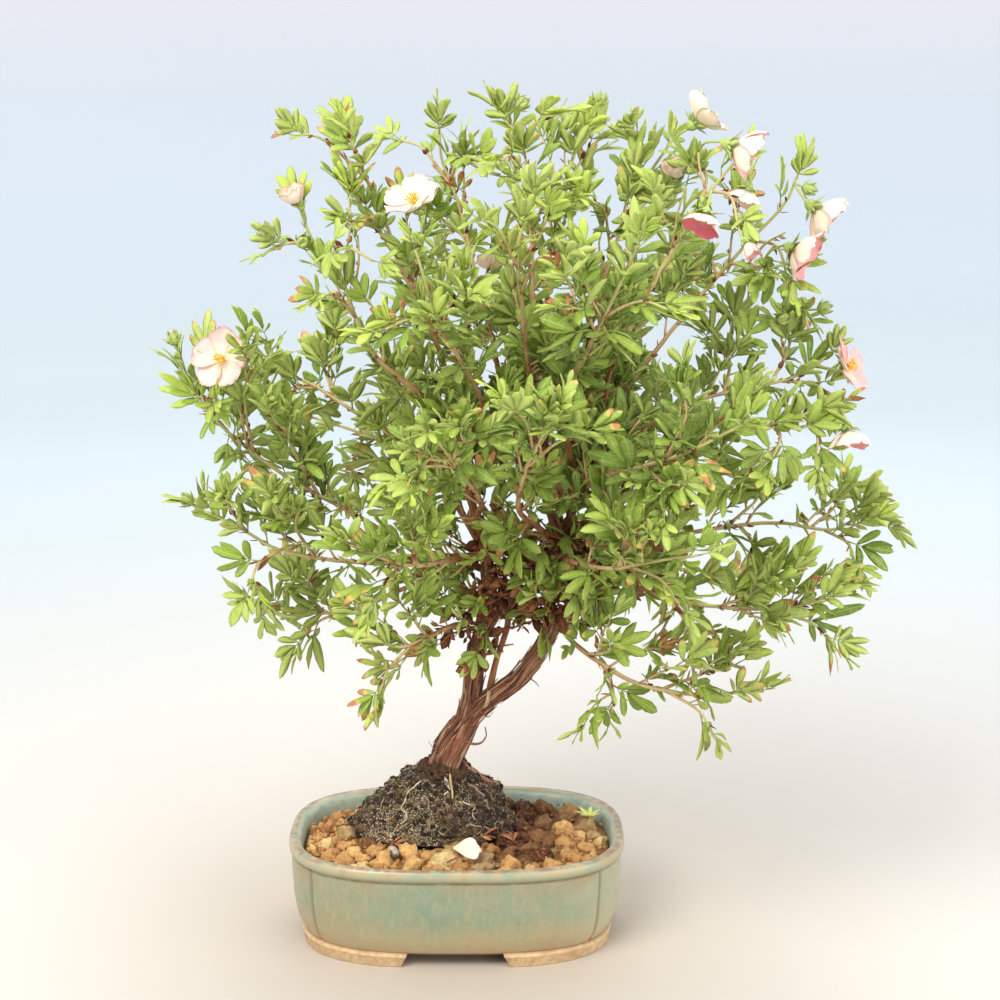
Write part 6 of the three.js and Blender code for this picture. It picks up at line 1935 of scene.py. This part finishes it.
def add_surface_root(skin, pale, start, end, points):
    """A root from the trunk's foot into the mound; the pale one is short, thin and tan."""
    path = curve(points, np.linspace(0, 0.72 if pale else 1, 26))
    path = path + 0.45 * wander(path, 3.5, 15)
    radii = np.linspace(start, end, len(path)) + 0.2 * noise(path / 2, 18)
    if pale:
        add_tube(skin, path, 0.36 * radii, 12, (0.2, 0, 0.62, 0.1))
    else:
        add_tube(skin, path, radii, 12, (0.5, 0, 0, 0.85))


def add_burrs(skin):
    """Rounded swellings where branches part."""
    points, faces = BALLS[3]
    for centre, size in BURRS:
        bumpy = points * (1 + 0.2 * rough(points * 2.2 + np.array(centre), 3, 21))[:, None]
        placed = np.array(centre) + bumpy * size * [0.95, 0.9, 1.25]
        skin.add(placed, [(faces, 0)], (0.5, 0, 0, 1.0), bumpy * size * [1, 1, 1.2])


def make_flakes(rng):
    """Strips of bark that peel from the stems, free at one end or both, and the stub of a cut twig."""
    skin = Skin()
    for name, number, longest, widest in PEELING:
        path, radii = limb_surface(name, 1.0)
        side, up = rings_around(path)
        for strip in range(number):
            add_strip(skin, path, radii, side, up, longest, widest, 9 * strip, rng)
    for points, radius in LOOSE_STRIPS:
        path = swept(points, 24)
        add_tube(skin, path, np.linspace(radius, 0.4 * radius, len(path)), 6, (0.4, 0, 0, 0), flat=0.5)
    stub = swept(STUB, 14)
    add_tube(skin, stub, np.linspace(1.3, 0.9, len(stub)), 8, (0.95, 0, 0, 0), flat=0.5)
    skin.piece("bark_flakes", [FLAKE], "bark")


def add_strip(skin, path, radii, side, up, longest, widest, shift, rng):
    """One strip of bark that lifts from a limb towards its free end."""
    along = lengths_along(path)
    reach = rng.uniform(0.25, 1.0) * longest
    start = rng.uniform(0, max(1, along[-1] - reach))
    turn = rng.uniform(0, 2 * np.pi)
    s = np.linspace(0, 1, STRIP_STEPS)
    places = start + reach * s
    centre = at_lengths(path, places)
    radius = np.interp(places, along, radii)
    pick = np.clip(np.searchsorted(along, places), 0, len(path) - 1)
    swing = turn + rng.normal(0, 0.25) * s
    out = np.cos(swing)[:, None] * side[pick] + np.sin(swing)[:, None] * up[pick]
    loose = rng.uniform(0.2, 2.6) * rng.random() ** 2.2
    both = rng.random() < 0.35
    lift = loose * (np.abs(2 * s - 1) ** 2.2 if both else s ** 2.4)
    spine = centre + out * (radius + 0.55 + lift)[:, None]
    width = rng.uniform(0.35, 1.0) * 0.5 * widest * np.sin(np.pi * np.clip(s * 0.9 + 0.06, 0, 1)) ** 0.5
    flow = unit(np.gradient(spine, axis=0))
    beside = unit(np.cross(flow, out))
    normal = np.cross(beside, flow)
    curl = rng.uniform(-0.1, 0.5)
    aside = np.array([-1, 0, 1, 1, 0, -1]) * width[:, None]
    rise = np.array([curl, 0, curl, curl - 0.3, -0.3, curl - 0.3]) * np.minimum(1, width)[:, None]
    points = spine[:, None] + beside[:, None] * aside[..., None] + normal[:, None] * rise[..., None]
    grain = np.stack(np.broadcast_arrays(aside + shift, 0, places[:, None]), axis=-1)
    skin.add(points, solid_faces(STRIP_STEPS, 6, 0, turned=True), (rng.random(), 0, 0, 0), grain)


def make_litter():
    """What lies and grows on the grains."""
    rng = np.random.default_rng(LITTER_SEED)
    make_fallen_petal()
    make_dry_leaves(rng)
    make_dropped_twig()
    make_weed(rng)


def make_fallen_petal():
    along = unit(np.array([0.93, 0.3, -0.22]))
    aside = unit(np.cross([0.1, -0.5, 0.86], along))
    axes = np.array([along, aside, np.cross(along, aside)])
    at = np.array(FALLEN_PETAL_PLACE) - along * 6.5 + [0, 0, 3.4]
    petal = Skin()
    add_petal(petal, at, axes, 0.0, np.pi / 2, 13.4, 6.0, 0.03, 0.05, 0.08, (0.3, 0.25), 5)
    petal.piece("petal_on_grains", [PETAL], "petal", "fallen_petal")


def make_dry_leaves(rng):
    dry = Skin()
    for x, y, z, turn in DEAD_LEAF_PLACES:
        foot = np.array([[x - 4 * np.cos(turn), y - 4 * np.sin(turn), z]])
        forward = np.array([[np.cos(turn), np.sin(turn), 0.12]])
        face = np.array([[0.1, -0.35, 1.0]])
        size, tone, age = np.array([[0.46], [0.3], [1.0]])
        add_leaves(dry, foot, forward, face, size, 5, tone, age, rng)
    dry.piece("dry_leaves_on_grains", [LEAF, LEAF_UNDER, STALK], "dry_leaf", "dead_leaf")


def make_dropped_twig():
    twig = Skin()
    path = swept(DROPPED_TWIG, 18)
    add_tube(twig, path, np.linspace(0.55, 0.3, len(path)), 6, (0.5, 0, 0, 0.7))
    twig.piece("twig_on_grains", [BARK], "bark")


def make_weed(rng):
    weed = Skin()
    x, y, z = WEED_PLACE
    stem = swept([(x, y, z - 2), (x, y, z + 3), (x + 0.4, y - 0.3, z + 7)], 8)
    add_tube(weed, stem, np.linspace(0.9, 0.6, len(stem)), 7)
    for i in range(WEED_LEAVES):
        turn = 0.5 + i * 2 * np.pi / WEED_LEAVES
        along = on_circle(turn, 1, 0.55)
        foot = (x + 0.3 * np.cos(turn), y + 0.3 * np.sin(turn), z + 5.4)
        add_scales(weed, foot, along, (0, 0, 1), rng.uniform(6, 8.5), 1.5, 0.3, MIDDLE_TONE, 0, -0.12, rows=8)
    weed.piece("weed_sprout", [WEED], "weed", "weed")


def picture_height(reach, height):
    """How high a place straight behind the object lies in the picture: 0 at its lower edge, 1 at its top."""
    tilt = np.radians(CAMERA_TILT)
    ahead = reach - CAMERA_PLACE[1]
    above = height - CAMERA_PLACE[2]
    depth = ahead * np.cos(tilt) - above * np.sin(tilt)
    rise = above * np.cos(tilt) + ahead * np.sin(tilt)
    return 0.5 + CAMERA_LENS / SENSOR_WIDTH * rise / depth


def make_stage():
    """A pale round floor that sweeps up to a low wall on all sides."""
    profile = evenly(swept([(0, y, z) for y, z in STAGE_PROFILE], 400), 30)[1:]
    reach, height = profile[:, 1], np.maximum(profile[:, 2], 0)
    angle = around(STAGE_SIDES)
    rings = [np.stack([r * np.sin(angle), r * np.cos(angle), np.full(STAGE_SIDES, z)], axis=-1)
             for r, z in zip(reach, height)]
    points = np.array(rings).reshape(-1, 3)
    faces = grid_faces(len(rings), STAGE_SIDES, True).tolist() + [list(range(STAGE_SIDES))]
    shade = np.zeros_like(points)
    shade[:, 1] = np.repeat(picture_height(reach, height), STAGE_SIDES)
    mesh = bpy.data.meshes.new("stage")
    mesh.from_pydata((points * MM + ORIGIN).tolist(), [], faces)
    mesh.attributes.new("grain", "FLOAT_VECTOR", "POINT").data.foreach_set("vector", shade.ravel())
    mesh.polygons.foreach_set("use_smooth", [True] * len(mesh.polygons))
    mesh.materials.append(STAGE)
    stage = linked("stage", mesh)


def add_area_light(name, place, target, size, power, colour):
    data = bpy.data.lights.new(name, "AREA")
    data.size = size
    data.energy = power
    data.color = colour
    light = linked(name, data)
    place, target = (np.array(point) * MM + ORIGIN for point in (place, target))
    light.location = place
    light.rotation_euler = Vector(target - place).to_track_quat("-Z", "Y").to_euler()


def make_sky():
    world = bpy.data.worlds.new("sky")
    world.use_nodes = True
    background = world.node_tree.nodes["Background"]
    background.inputs["Color"].default_value = tint(245, 246, 248)
    background.inputs["Strength"].default_value = SKY_STRENGTH
    bpy.context.scene.world = world


def make_camera():
    data = bpy.data.cameras.new("camera")
    data.lens = CAMERA_LENS
    data.sensor_width = SENSOR_WIDTH
    data.clip_end = 20
    camera = linked("camera", data)
    camera.location = VIEWER * MM + ORIGIN
    camera.rotation_euler = (np.radians(90 - CAMERA_TILT), 0, 0)
    bpy.context.scene.camera = camera


make_pot()
make_soil()
make_mound()
make_grains()
make_blooms()
make_wood()
make_sprays()
make_thicket()
make_litter()
make_stage()
make_sky()
for light in LIGHTS:
    add_area_light(*light)
make_camera()
bpy.context.scene.view_settings.view_transform = "Standard"
